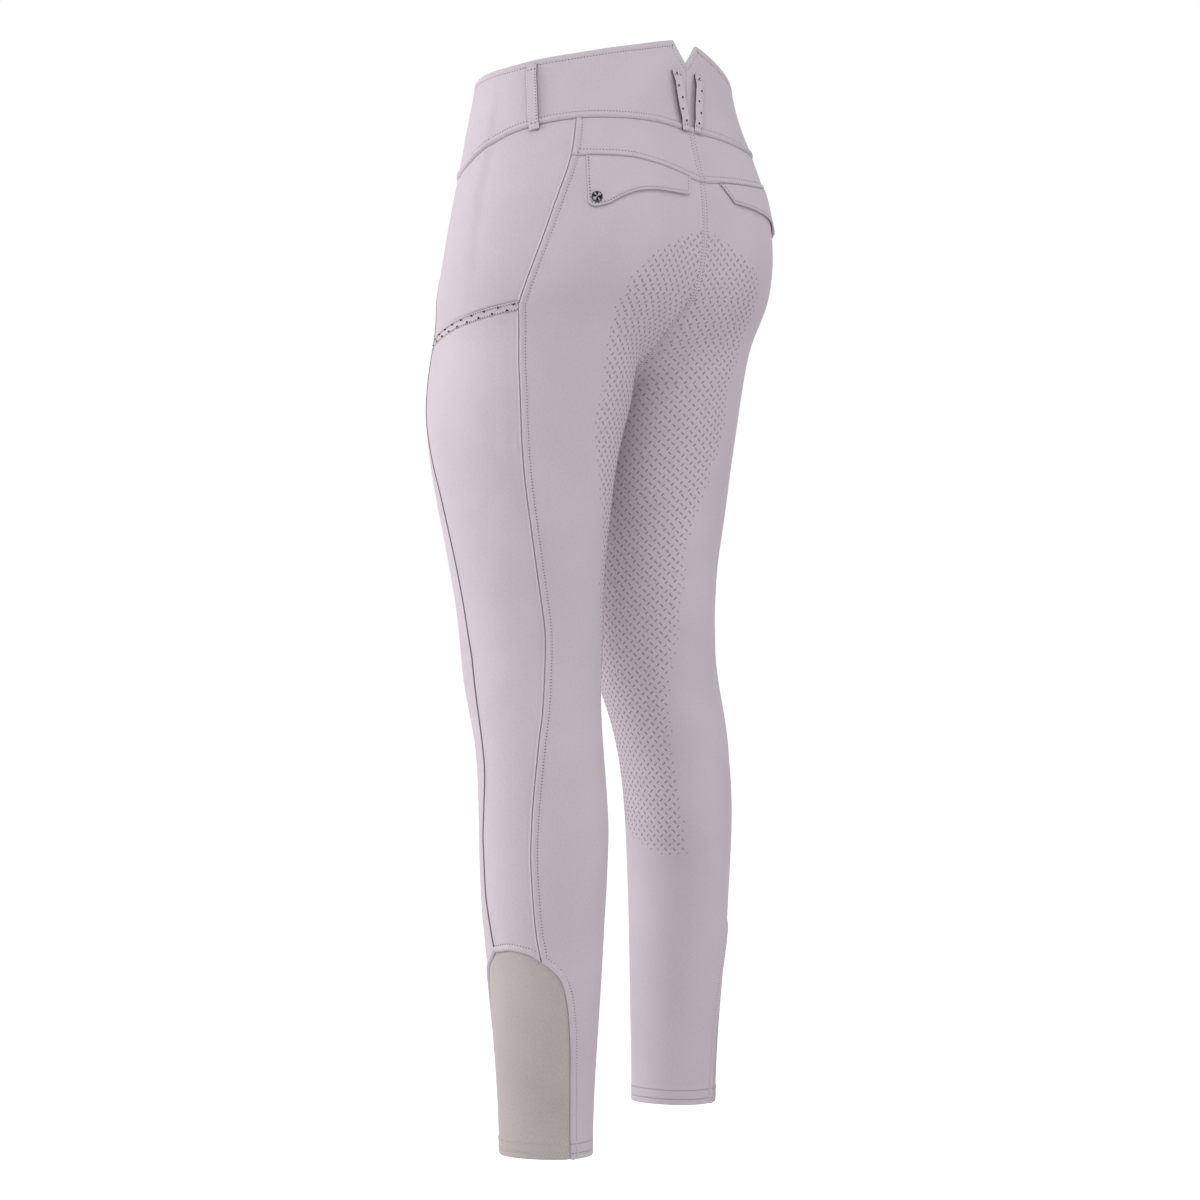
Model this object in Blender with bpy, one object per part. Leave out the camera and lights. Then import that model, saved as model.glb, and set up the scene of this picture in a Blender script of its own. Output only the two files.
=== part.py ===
"""Riding breeches: high waist, full seat, phone pocket at the side, sock inserts at the hems.

The breeches hang as worn on an upright general figure. Metres, +Z up, the wearer faces -Y and the
wearer's left is +X. The origin is the middle of the waist, half way up the waistband at the side,
where a wearer holds them.

The outside of the cloth is one smooth form: an oval hip section and two oval leg sections a level,
blended where they meet. A place on a leg is named by its level and by its turn about the leg's
middle line, in degrees: 0 outward, 90 to the back, -90 to the front, 180 to the other leg. Every
panel is the part of that form between two upright seams and two level seams, with a wall inward.
The right piece of each pair is the mirror image of a left one. The hems, the waistband and
yoke seams and the ends of the flaps differ a little from side to side, so the pieces beside them
are worked out once for each side.
"""
import math

import bpy
import numpy as np

# ---------------------------------------------------------------- driving sizes (metres)
CLOTH = 0.0013          # knitted softshell, one layer
BAND = 0.0024           # waistband, two layers with tape
BAND_OUT = 0.0004       # waistband face in front of the panels
SOCK = 0.0010           # elastic knit at the hem
SEAM = 0.00016          # half of the gap between two sewn pieces
PIPE_WIDE, PIPE_THICK, PIPE_OUT = 0.0022, 0.0018, 0.0005
PIPE_GAP = PIPE_WIDE / 2 + 0.0004        # from the middle of the piping to the panel beside it
MOUTH_TALL, MOUTH_THICK, MOUTH_OUT = 0.0080, 0.0018, 0.0005
BAG_THICK, BAG_IN = 0.0009, 0.0026      # phone pocket bag behind the side panel
FLAP_THICK, FLAP_OUT, FLAP_LIFT = 0.0015, 0.0019, 0.0006
LOOP_WIDE, LOOP_THICK, LOOP_OUT, LOOP_LIFT = 0.0100, 0.0014, 0.0023, 0.0026
STUD_WIDE, STUD_TALL, STUD_RIM = 0.0096, 0.0017, 0.0006
INSEAM_SWING = 58.0     # degrees the inner seam runs forward below the crotch
INSEAM_DROP = 0.120     # and the height over which it does

# ---------------------------------------------------------------- body of the garment
# Hip section: half width, depth to the front, depth to the back, middle forward or back.
HIP_COLUMNS = ("level", "wide", "front", "back", "mid")
HIP = (
    (0.090, 0.129, 0.096, 0.102, 0.000),
    (0.060, 0.130, 0.096, 0.102, 0.000),
    (0.030, 0.132, 0.097, 0.103, 0.000),
    (0.000, 0.134, 0.097, 0.1035, 0.000),
    (-0.030, 0.1362, 0.097, 0.1085, 0.000),
    (-0.070, 0.144, 0.099, 0.119, 0.000),
    (-0.110, 0.152, 0.101, 0.122, 0.000),
    (-0.150, 0.156, 0.102, 0.116, 0.000),
    (-0.190, 0.156, 0.098, 0.102, -0.003),
    (-0.230, 0.150, 0.090, 0.085, -0.006),
    (-0.270, 0.140, 0.080, 0.070, -0.010),
)
# Leg section: middle out and back, then the reach outward, inward, forward and back, and the
# turn of the oval outward in degrees.
LEG_COLUMNS = ("level", "x", "y", "out", "in", "front", "back", "turn")
LEG = (
    (0.090, 0.060, 0.000, 0.050, 0.050, 0.060, 0.060, 0),
    (0.000, 0.066, 0.002, 0.055, 0.055, 0.068, 0.082, 0),
    (-0.050, 0.070, 0.004, 0.066, 0.064, 0.078, 0.103, 0),
    (-0.100, 0.073, 0.004, 0.075, 0.072, 0.088, 0.113, 0),
    (-0.140, 0.075, 0.002, 0.080, 0.074, 0.096, 0.113, 2),
    (-0.180, 0.077, -0.004, 0.082, 0.075, 0.103, 0.106, 4),
    (-0.220, 0.079, -0.011, 0.081, 0.076, 0.107, 0.100, 6),
    (-0.270, 0.081, -0.018, 0.079, 0.077, 0.105, 0.095, 8),
    (-0.320, 0.083, -0.021, 0.073, 0.073, 0.096, 0.089, 9),
    (-0.370, 0.082, -0.021, 0.067, 0.067, 0.086, 0.082, 10),
    (-0.420, 0.080, -0.020, 0.061, 0.062, 0.078, 0.074, 10),
    (-0.470, 0.079, -0.016, 0.058, 0.059, 0.073, 0.068, 11),
    (-0.520, 0.082, -0.010, 0.055, 0.057, 0.069, 0.063, 12),
    (-0.570, 0.086, 0.001, 0.053, 0.053, 0.062, 0.060, 14),
    (-0.620, 0.089, 0.008, 0.050, 0.050, 0.061, 0.062, 15),
    (-0.670, 0.090, 0.011, 0.047, 0.048, 0.062, 0.062, 16),
    (-0.720, 0.090, 0.011, 0.045, 0.046, 0.060, 0.059, 16),
    (-0.770, 0.089, 0.011, 0.044, 0.045, 0.055, 0.055, 16),
    (-0.830, 0.087, 0.010, 0.042, 0.043, 0.049, 0.050, 16),
    (-0.890, 0.086, 0.009, 0.040, 0.041, 0.045, 0.046, 16),
    (-0.960, 0.085, 0.009, 0.039, 0.040, 0.043, 0.043, 16),
)
BLEND_LEG, BLEND_HIP = 0.008, 0.020     # softness of the blend at the crotch and at the hip

# ---------------------------------------------------------------- seams
# Upright seams, level against turn, with a corner where one table ends and the next begins. The
# front one carries the piping down to the sock insert and then is the insert's front edge; the
# side one turns at the corner of the phone pocket and ends as the insert's back edge.
FRONT_CORNER, POCKET_CORNER, SIDE_CORNER = -0.757, -0.184, -0.760
FRONT_SEAM = (
    ((0.040, -64.0), (-0.060, -60.0), (-0.120, -54.5), (-0.180, -50.5), (-0.225, -51.5),
     (-0.265, -50.0), (-0.315, -41.0), (-0.350, -34.0), (-0.390, -30.0),
     (-0.430, -26.8), (-0.470, -23.6), (-0.500, -19.8), (-0.545, -19.3), (-0.590, -20.0),
     (-0.625, -27.0), (-0.660, -33.5), (-0.700, -33.0), (-0.735, -26.0), (FRONT_CORNER, -19.6)),
    ((FRONT_CORNER, -19.6), (-0.765, -28.0), (-0.774, -38.0), (-0.783, -43.0), (-0.800, -46.5),
     (-0.840, -52.5), (-0.950, -60.0)),
)
SIDE_SEAM = (
    ((0.040, 60.0), (-0.023, 58.0), (-0.052, 55.8), (-0.095, 48.6), (-0.140, 41.0),
     (POCKET_CORNER, 34.3)),
    ((POCKET_CORNER, 34.3), (-0.225, 37.6), (-0.265, 41.8), (-0.353, 48.8), (-0.441, 56.0),
     (-0.476, 57.8), (-0.512, 56.4), (-0.539, 53.2), (-0.565, 47.4), (-0.601, 41.0),
     (-0.638, 36.0), (-0.670, 33.6), (-0.700, 35.2), (-0.736, 39.0), (SIDE_CORNER, 44.0)),
    ((SIDE_CORNER, 44.0), (-0.765, 53.0), (-0.775, 63.5), (-0.793, 70.0), (-0.816, 73.4),
     (-0.849, 76.0), (-0.950, 78.5)),
)
# Level seams above the crotch, share of the way from the centre front to the centre back
# against level.
TOP_EDGE = (
    (0.000, 0.030), (0.300, 0.030), (0.480, 0.031), (0.550, 0.032), (0.620, 0.0347),
    (0.700, 0.0378), (0.763, 0.0413), (0.840, 0.0473), (0.880, 0.0508), (0.920, 0.0550),
    (0.950, 0.0587), (0.970, 0.0610), (0.973, 0.0613), (0.9745, 0.0602), (0.986, 0.0518),
    (1.000, 0.0420),
)
# The waistband and yoke seams sit a little lower on the right hip.
BAND_FRONT = ((0.000, -0.060), (0.200, -0.060), (0.320, -0.058), (0.400, -0.054),
              (0.460, -0.045), (0.550, -0.033))
BAND_SEAM = {
    1: BAND_FRONT + ((0.630, -0.0265), (0.750, -0.0205), (0.850, -0.0186), (0.900, -0.0177),
                     (0.940, -0.0176), (1.000, -0.0205)),
    -1: BAND_FRONT + ((0.630, -0.0290), (0.750, -0.0271), (0.800, -0.0267), (0.840, -0.0261),
                      (0.880, -0.0245), (0.920, -0.0221), (0.960, -0.0207), (1.000, -0.0205)),
}
YOKE_SEAM = {
    1: ((0.600, -0.0538), (0.736, -0.0557), (0.800, -0.0558), (0.840, -0.0561), (0.880, -0.0581),
        (0.920, -0.0602), (0.960, -0.0634), (1.000, -0.0675)),
    -1: ((0.600, -0.0545), (0.736, -0.0572), (0.800, -0.0588), (0.840, -0.0613),
         (0.880, -0.0629), (0.920, -0.0636), (0.960, -0.0650), (1.000, -0.0675)),
}
# Level seams on the leg, turn against level.
POCKET_MOUTH = ((-70.0, -0.212), (-50.0, -0.208), (-15.0, -0.197), (15.0, -0.189), (40.0, -0.183))
BAG_FOOT = -0.367
ARCH = ((-30.0, -0.7575), (-19.6, -0.7568), (7.6, -0.7522), (28.8, -0.7538), (44.0, -0.7600),
        (60.0, -0.7650))
# Hem of each side: its level, how far it rises, and the turn it rises to.
HEM = {1: (-0.9446, 0.0078, 45.0), -1: (-0.9350, 0.0085, 135.0)}
# Welt flap: its two ends at the yoke seam and at its foot, and the foot itself, in shares.
FLAP_OUTER = {1: ((-0.056, 0.760), (-0.101, 0.766)), -1: ((-0.058, 0.748), (-0.101, 0.742))}
FLAP_INNER = {1: ((-0.065, 0.975), (-0.082, 0.966)), -1: ((-0.065, 0.963), (-0.083, 0.934))}
FLAP_FOOT = {
    1: ((0.761, -0.0930), (0.766, -0.0985), (0.777, -0.1012), (0.796, -0.0992), (0.828, -0.0905),
        (0.857, -0.0852), (0.887, -0.0830), (0.930, -0.0822), (0.958, -0.0818), (0.976, -0.0795)),
    -1: ((0.738, -0.0930), (0.743, -0.0985), (0.753, -0.1008), (0.767, -0.0985), (0.787, -0.0935),
         (0.820, -0.0897), (0.860, -0.0868), (0.900, -0.0840), (0.934, -0.0822), (0.965, -0.0800)),
}
STUD_AT = {1: (0.780, -0.0935), -1: (0.755, -0.0935)}
# Belt loops: share and level of the upper and the lower end of each middle line.
LOOPS = {
    "loop_side": ((0.622, 0.0300), (0.643, -0.0300)),
    "loop_back": ((0.9745, 0.0340), (0.9875, -0.0200)),
    "loop_front": ((0.215, 0.0240), (0.215, -0.0630)),
}

# ---------------------------------------------------------------- grids
# Levels shared by the panels, closer together round the crotch and the arch of the insert.
LEVELS_ABOVE = (-0.031, -0.042, -0.053, -0.067, -0.083, -0.104, -0.126, -0.146, -0.166,
                POCKET_CORNER, -0.199, -0.216, -0.234, -0.251)
CROTCH_STEPS = (0.022, 0.012, 0.0052, 0.0014)       # above and below the crotch point
LEVELS_BELOW = (
    -0.325, -0.350, -0.376, -0.403, -0.430, -0.458, -0.486, -0.512, -0.539, -0.565, -0.592,
    -0.620, -0.648, -0.676, -0.706, -0.734, FRONT_CORNER, SIDE_CORNER, -0.763, -0.767, -0.772,
    -0.778, -0.785, -0.795, -0.810, -0.832, -0.862, -0.898,
)
BACK_COLUMNS = (0.0, 0.09, 0.18, 0.27, 0.36, 0.45, 0.54, 0.63, 0.72, 0.81, 0.89, 0.955, 1.0)
FRONT_COLUMNS = (0.0, 0.05, 0.13, 0.23, 0.35, 0.48, 0.61, 0.74, 0.87, 1.0)
NOTCH_COLUMNS = (0.952, 0.973, 0.986, 1.0)

COLOURS = {
    "cloth": (0.62, 0.56, 0.59), "band": (0.60, 0.54, 0.57), "sock": (0.47, 0.43, 0.42),
    "pipe": (0.13, 0.11, 0.12), "stud": (0.03, 0.03, 0.035), "trim": (0.58, 0.52, 0.55),
}


# ---------------------------------------------------------------- curves through tables
def soft_curve(rows, column):
    """Natural cubic curve of one column against the first."""
    data = np.array(sorted(rows), float)
    x, y = data[:, 0], data[:, column]
    n, h = len(x), np.diff(x)
    mat, rhs = np.eye(n), np.zeros(n)
    for i in range(1, n - 1):
        mat[i, i - 1:i + 2] = h[i - 1], 2 * (h[i - 1] + h[i]), h[i]
        rhs[i] = 6 * ((y[i + 1] - y[i]) / h[i] - (y[i] - y[i - 1]) / h[i - 1])
    bend = np.linalg.solve(mat, rhs)

    def curve(t):
        t = np.clip(np.asarray(t, float), x[0], x[-1])
        i = np.clip(np.searchsorted(x, t) - 1, 0, n - 2)
        a, b = (x[i + 1] - t) / h[i], (t - x[i]) / h[i]
        bow = ((a ** 3 - a) * bend[i] + (b ** 3 - b) * bend[i + 1]) * h[i] ** 2 / 6
        return a * y[i] + b * y[i + 1] + bow
    return curve


def firm_curve(rows):
    """Curve through the rows that never runs past them, for seams."""
    data = np.array(sorted(rows), float)
    x, y = data[:, 0], data[:, 1]
    h, d = np.diff(x), np.diff(y) / np.diff(x)
    slope = np.zeros(len(x))
    slope[0], slope[-1] = d[0], d[-1]
    same = d[1:] * d[:-1] > 0
    w1, w2 = 2 * h[1:] + h[:-1], h[1:] + 2 * h[:-1]
    safe = np.where(same, d[1:] * d[:-1], 1.0)
    slope[1:-1] = np.where(same, (w1 + w2) * safe / (w1 * d[1:] + w2 * d[:-1] + (~same)), 0.0)

    def curve(t):
        t = np.clip(np.asarray(t, float), x[0], x[-1])
        i = np.clip(np.searchsorted(x, t) - 1, 0, len(x) - 2)
        u = (t - x[i]) / h[i]
        return ((1 + 2 * u) * (1 - u) ** 2 * y[i] + u * (1 - u) ** 2 * h[i] * slope[i]
                + u * u * (3 - 2 * u) * y[i + 1] + u * u * (u - 1) * h[i] * slope[i + 1])
    return curve


def cornered_curve(tables):
    """Seam of several tables from the top down, with a corner between two of them."""
    curves = [firm_curve(rows) for rows in tables]

    def curve(z):
        turn = curves[0](z)
        for rows, lower in zip(tables[1:], curves[1:]):
            turn = np.where(np.asarray(z) < rows[0][0], lower(z), turn)
        return turn
    return curve


def ramp(t):
    t = np.clip(t, 0.0, 1.0)
    return t * t * (3 - 2 * t)


HIP_AT = {name: soft_curve(HIP, i) for i, name in enumerate(HIP_COLUMNS) if i}
LEG_AT = {name: soft_curve(LEG, i) for i, name in enumerate(LEG_COLUMNS) if i}
FRONT_AT, SIDE_AT = cornered_curve(FRONT_SEAM), cornered_curve(SIDE_SEAM)
TOP_AT, MOUTH_AT, ARCH_AT = firm_curve(TOP_EDGE), firm_curve(POCKET_MOUTH), firm_curve(ARCH)
BAND_AT = {side: soft_curve(rows, 1) for side, rows in BAND_SEAM.items()}
YOKE_AT = {side: firm_curve(rows) for side, rows in YOKE_SEAM.items()}
FOOT_AT = {side: firm_curve(rows) for side, rows in FLAP_FOOT.items()}


# ---------------------------------------------------------------- the outside of the cloth
def oval(x, y, out, inward, back, front):
    """Signed distance, near enough, to an oval with its own reach on each side."""
    wide, deep = np.where(x > 0, out, inward), np.where(y > 0, back, front)
    return (np.hypot(x / wide, y / deep) - 1) * 0.5 * (wide + deep)


def cloth_field(x, y, z):
    """Below zero inside the garment, zero on the cloth."""
    hip, leg = {k: f(z) for k, f in HIP_AT.items()}, {k: f(z) for k, f in LEG_AT.items()}
    parts = [oval(x, y - hip["mid"], hip["wide"], hip["wide"], hip["back"], hip["front"])
             + 0.05 * np.clip((-0.160 - z) / 0.07, 0, 4) ** 2]
    c, s = np.cos(np.radians(leg["turn"])), np.sin(np.radians(leg["turn"]))
    for side in (1, -1):
        u, v = side * x - leg["x"], y - leg["y"]
        parts.append(oval(u * c + v * s, v * c - u * s, leg["out"], leg["in"], leg["back"],
                          leg["front"]) + 0.02 * np.clip((z + 0.03) / 0.06, 0, 3) ** 2)
    k = BLEND_LEG + (BLEND_HIP - BLEND_LEG) * ramp((z + 0.25) / 0.10)
    low = np.minimum(np.minimum(parts[0], parts[1]), parts[2])
    return low - k * np.log(sum(np.exp((low - p) / k) for p in parts))


def edge_of(field, inside, outside):
    """Halve the way from an inside place to an outside one down to the cloth."""
    inside, outside = np.array(inside, float), np.array(outside, float)
    for _ in range(42):
        mid = 0.5 * (inside + outside)
        within = field(mid) < 0
        inside, outside = np.where(within, mid, inside), np.where(within, outside, mid)
    return 0.5 * (inside + outside)


def crotch_point():
    """Lowest point of the cloth in the middle plane: its y and its level."""
    across = np.linspace(-0.05, 0.05, 201)
    high, low = -0.10, -0.35
    for _ in range(40):
        mid = 0.5 * (high + low)
        depth = cloth_field(0 * across, across, mid + 0 * across)
        high, low = (mid, low) if depth.min() < 0 else (high, mid)
    return float(across[depth.argmin()]), high


CROTCH_Y, CROTCH_Z = crotch_point()


def turn_limits(z):
    """Turn of the front and of the back end of a level: middle plane, or inner seam lower down."""
    z = np.asarray(z, float)
    up = np.maximum(z, CROTCH_Z + 1e-6)
    start, zero = CROTCH_Y + 0 * up, 0 * up
    front = edge_of(lambda y: cloth_field(zero, y, up), start, start - 0.25)
    back = edge_of(lambda y: cloth_field(zero, y, up), start, start + 0.25)
    x, y = LEG_AT["x"](up), LEG_AT["y"](up)
    a = np.degrees(np.arctan2(front - y, -x)) % 360 - 360
    b = np.degrees(np.arctan2(back - y, -x)) % 360
    meet = math.degrees(math.atan2(CROTCH_Y - LEG_AT["y"](CROTCH_Z), -LEG_AT["x"](CROTCH_Z))) % 360
    seam = meet - 360 + INSEAM_SWING * ramp((CROTCH_Z - z) / INSEAM_DROP)
    low = z < CROTCH_Z
    return np.where(low, seam, a), np.where(low, seam + 360, b)


def share(turn, z):
    """Share of the way from the front end of the level to the back one."""
    a, b = turn_limits(z)
    return (turn - a) / (b - a)


def on_cloth(turn, z):
    """Points of the left side of the garment."""
    turn, z = np.broadcast_arrays(np.asarray(turn, float), np.asarray(z, float))
    x, y = LEG_AT["x"](z), LEG_AT["y"](z)
    c, s = np.cos(np.radians(turn)), np.sin(np.radians(turn))
    reach = np.where(c < -1e-9, x / np.maximum(-c, 1e-9), 0.4)
    r = edge_of(lambda r: cloth_field(x + r * c, y + r * s, z), 0 * z, np.minimum(0.4, reach))
    return np.stack([x + r * c, y + r * s, z], -1)


def outward(points, h=0.0003):
    """Unit direction away from the cloth."""
    grad = []
    for axis in np.eye(3) * h:
        ahead, behind = points + axis, points - axis
        grad.append(cloth_field(*np.moveaxis(ahead, -1, 0))
                    - cloth_field(*np.moveaxis(behind, -1, 0)))
    n = np.stack(grad, -1)
    return n / np.linalg.norm(n, axis=-1, keepdims=True)


# ---------------------------------------------------------------- seams as functions
def front_end(z):
    return turn_limits(z)[0]


def back_end(z):
    return turn_limits(z)[1]


def by_share(curve, shift=0.0):
    """Level seam of a share table as a function of turn and level."""
    return lambda turn, z: curve(share(turn, z)) + shift


def by_turn(curve, shift=0.0):
    return lambda turn, z: curve(turn) + shift


def hem(side):
    level, rise, facing = HEM[side]
    return lambda turn, z: level + rise * np.cos(np.radians(turn - facing))


def at_share(curve):
    """Upright edge given as level against share."""
    def turn(z):
        a, b = turn_limits(z)
        return a + (b - a) * curve(z)
    return turn


# ---------------------------------------------------------------- panels
def panel_grid(left, right, top, bottom, columns, levels=None, rows=8, fade=0.05):
    """Turn and level of a grid between two upright seams and two level ones."""
    s = np.asarray(columns, float)[None, :]
    if levels is None:
        t = np.linspace(0, 1, rows + 1)[:, None]
        z = np.zeros((rows + 1, s.shape[1])) - 0.1
    else:
        z = np.repeat(np.asarray(levels, float)[:, None], s.shape[1], 1)
        base, foot = z[0, 0], z[-1, 0]
        keep_top = ramp((z - (base - fade)) / fade)
        keep_low = ramp(((foot + fade) - z) / fade)
        level = z.copy()
    for _ in range(14):
        turn = left(z) + (right(z) - left(z)) * s
        high, low = top(turn, z), bottom(turn, z)
        if levels is None:
            z = high + (low - high) * t
        else:
            z = level + (high - base) * keep_top + (low - foot) * keep_low
    return turn, z


def trim(points, gaps):
    """Draw the four edges of a grid back along the cloth: left, right, top, bottom."""
    shift = np.zeros_like(points)
    for index, gap in zip(((slice(None), 0), (slice(None), -1), (0, slice(None)),
                           (-1, slice(None))), gaps):
        row, col = index
        if isinstance(row, slice):
            near = points[:, 1] if col == 0 else points[:, -2]
        else:
            near = points[1] if row == 0 else points[-2]
        step = near - points[index]
        step /= np.linalg.norm(step, axis=-1, keepdims=True)
        along = np.gradient(points[index], axis=0)
        along /= np.linalg.norm(along, axis=-1, keepdims=True)
        slant = np.linalg.norm(np.cross(along, step), axis=-1, keepdims=True)
        shift[index] += gap * step / np.maximum(slant, 0.35)
    return points + shift


def slab(points, out, thick):
    """Closed wall between a grid moved outward and the same grid further in."""
    points[..., 0] = np.maximum(points[..., 0], SEAM)
    n = outward(points)
    out = np.asarray(out)[..., None] if np.ndim(out) else out
    face, back = points + n * out, points + n * (out - thick)
    back[..., 0] = np.maximum(back[..., 0], SEAM)
    face[..., 0] = np.maximum(face[..., 0], SEAM)
    return close_grids(face, back)


def close_grids(face, back):
    """Vertices and faces of the closed body between two grids of the same shape."""
    m, n = face.shape[:2]
    verts = np.concatenate([face.reshape(-1, 3), back.reshape(-1, 3)])
    at = np.arange(m * n).reshape(m, n)
    faces = []
    for i in range(m - 1):
        for j in range(n - 1):
            a, b, c, d = at[i, j], at[i + 1, j], at[i + 1, j + 1], at[i, j + 1]
            faces += [(a, b, c), (a, c, d), (a + m * n, c + m * n, b + m * n),
                      (a + m * n, d + m * n, c + m * n)]
    rim = list(at[0, :]) + list(at[1:, -1]) + list(at[-1, -2::-1]) + list(at[-2:0:-1, 0])
    for a, b in zip(rim, rim[1:] + rim[:1]):
        faces += [(a, b, b + m * n), (a, b + m * n, a + m * n)]
    return verts, faces


def levels_between(top, bottom, extra=()):
    """Shared levels from one end to the other, with the crotch where it lies between them."""
    steps = [CROTCH_Z + d for d in CROTCH_STEPS] + [CROTCH_Z] + [CROTCH_Z - d for d in CROTCH_STEPS]
    allv = sorted(set(LEVELS_ABOVE + LEVELS_BELOW + tuple(steps) + tuple(extra)), reverse=True)
    return [top] + [v for v in allv if top - 0.006 > v > bottom + 0.006] + [bottom]


def even(count):
    return np.linspace(0, 1, count + 1)


def panel(left, right, top, bottom, columns, levels=None, rows=8, gaps=(SEAM,) * 4, out=0.0,
          thick=CLOTH, fade=0.05):
    turn, z = panel_grid(left, right, top, bottom, columns, levels, rows, fade)
    return slab(trim(on_cloth(turn, z), gaps), out, thick)


def front_panel(side):
    levels = levels_between(-0.060, HEM[side][0])
    return panel(front_end, FRONT_AT, by_share(BAND_AT[side]), hem(side), FRONT_COLUMNS, levels,
                 gaps=(SEAM, PIPE_GAP, SEAM, 0))


def back_panel(side):
    levels = levels_between(-0.052, HEM[side][0])
    return panel(SIDE_AT, back_end, by_share(YOKE_AT[side]), hem(side), BACK_COLUMNS, levels,
                 gaps=(SEAM, SEAM, SEAM, 0))


def side_upper(side):
    levels = levels_between(-0.0215, POCKET_CORNER + MOUTH_TALL / 2)
    return panel(FRONT_AT, SIDE_AT, by_share(BAND_AT[side]), by_turn(MOUTH_AT, MOUTH_TALL / 2),
                 even(10), levels, gaps=(PIPE_GAP, SEAM, 2 * SEAM, SEAM), fade=0.15)


def above_arch(curve, corner):
    """Upright seam carried straight on past the corner where it meets the arch."""
    return lambda z: curve(np.maximum(z, corner))


def side_lower():
    levels = levels_between(POCKET_CORNER - MOUTH_TALL / 2, -0.757)
    return panel(above_arch(FRONT_AT, FRONT_CORNER), above_arch(SIDE_AT, SIDE_CORNER),
                 by_turn(MOUTH_AT, -MOUTH_TALL / 2), by_turn(ARCH_AT), even(7), levels,
                 gaps=(PIPE_GAP, SEAM, SEAM, SEAM), fade=0.05)


def pocket_mouth():
    return panel(FRONT_AT, SIDE_AT, by_turn(MOUTH_AT, MOUTH_TALL / 2),
                 by_turn(MOUTH_AT, -MOUTH_TALL / 2), even(10), rows=2,
                 gaps=(PIPE_GAP, SEAM, SEAM, SEAM), out=MOUTH_OUT,
                 thick=MOUTH_THICK)


def pocket_bag():
    return panel(lambda z: FRONT_AT(z) + 4, lambda z: SIDE_AT(z) - 5,
                 by_turn(MOUTH_AT, 0.012), lambda turn, z: BAG_FOOT + 0 * turn, even(6), rows=8,
                 gaps=(0, 0, 0, 0), out=-BAG_IN, thick=BAG_THICK)


def sock_insert(side):
    levels = [v for v in levels_between(-0.1, HEM[side][0]) if v <= FRONT_CORNER]
    return panel(FRONT_AT, SIDE_AT, by_turn(ARCH_AT), hem(side), even(8), levels,
                 gaps=(SEAM, SEAM, SEAM, 0), thick=SOCK, out=-0.0001, fade=0.012)


def yoke(side):
    return panel(SIDE_AT, back_end, by_share(BAND_AT[side]), by_share(YOKE_AT[side]), even(9),
                 rows=3)


def waistband(side):
    columns = list(np.linspace(0, 0.93, 21)) + list(NOTCH_COLUMNS)
    return panel(front_end, back_end, by_share(TOP_AT), by_share(BAND_AT[side]), columns, rows=4,
                 gaps=(SEAM, SEAM, 0, SEAM), out=BAND_OUT, thick=BAND)


def piping():
    """Flat cord lying in the front seam."""
    half = PIPE_WIDE / 2
    levels = levels_between(-0.064, -0.753)
    z = np.array(levels)
    for _ in range(8):
        turn = FRONT_AT(z)
        z[0] = BAND_AT[1](share(turn[0], z[0])) - 2 * SEAM
        z[-1] = ARCH_AT(turn[-1]) + 2 * SEAM
    turn = FRONT_AT(z)
    line = on_cloth(turn, z)
    ahead = np.gradient(line, axis=0)
    n = outward(line)
    across = np.cross(n, ahead)
    across /= np.linalg.norm(across, axis=-1, keepdims=True)
    across *= np.sign((across * (on_cloth(turn + 1, z) - line)).sum(-1, keepdims=True))
    face = np.stack([line - half * across, line + half * across], 1)
    rise = n[:, None, :]
    return close_grids(face + rise * PIPE_OUT, face + rise * (PIPE_OUT - PIPE_THICK))


def flap_lift(t):
    """Face of the flap over the cloth, t down it."""
    return FLAP_OUT + FLAP_LIFT * t ** 1.5


def flap(side):
    inner = firm_curve(FLAP_INNER[side])
    outer = firm_curve(FLAP_OUTER[side])
    columns = (0, 0.035, 0.08, 0.15, 0.25, 0.36, 0.48, 0.6, 0.72, 0.84, 0.94, 1)
    turn, z = panel_grid(at_share(outer), at_share(inner), by_share(YOKE_AT[side], -0.0008),
                         by_share(FOOT_AT[side]), columns, rows=5)
    t = np.linspace(0, 1, z.shape[0])[:, None] + 0 * turn
    return slab(on_cloth(turn, z), flap_lift(t), FLAP_THICK)


def centre_of(q, z):
    a, b = turn_limits(z)
    point = on_cloth(a + (b - a) * q, z)
    return point, outward(point)


def flap_stud(side):
    """Faceted stud with a plain rim on the flap's lower outer corner."""
    point, n = centre_of(*np.array(STUD_AT[side]))
    up = np.array([0.0, 0.0, 1.0]) - n * n[2]
    up /= np.linalg.norm(up)
    across = np.cross(up, n)
    base = point + n * (flap_lift(0.92) + 0.0004)
    rings = ((STUD_WIDE / 2, 0.0), (STUD_WIDE / 2, STUD_RIM), (STUD_WIDE * 0.42, STUD_RIM + 0.0004),
             (STUD_WIDE * 0.10, STUD_TALL))
    count, verts, faces = 16, [], []
    for radius, height in rings:
        for k in range(count):
            a = 2 * math.pi * k / count
            verts.append(base + radius * (math.cos(a) * across + math.sin(a) * up) + n * height)
    verts += [base, base + n * STUD_TALL]
    low, top = len(verts) - 2, len(verts) - 1
    for k in range(count):
        m = (k + 1) % count
        for r in range(len(rings) - 1):
            a, b = r * count, (r + 1) * count
            faces += [(a + k, a + m, b + m), (a + k, b + m, b + k)]
        faces += [(low, m, k), (top, (len(rings) - 1) * count + k, (len(rings) - 1) * count + m)]
    return np.array(verts), faces


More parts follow.
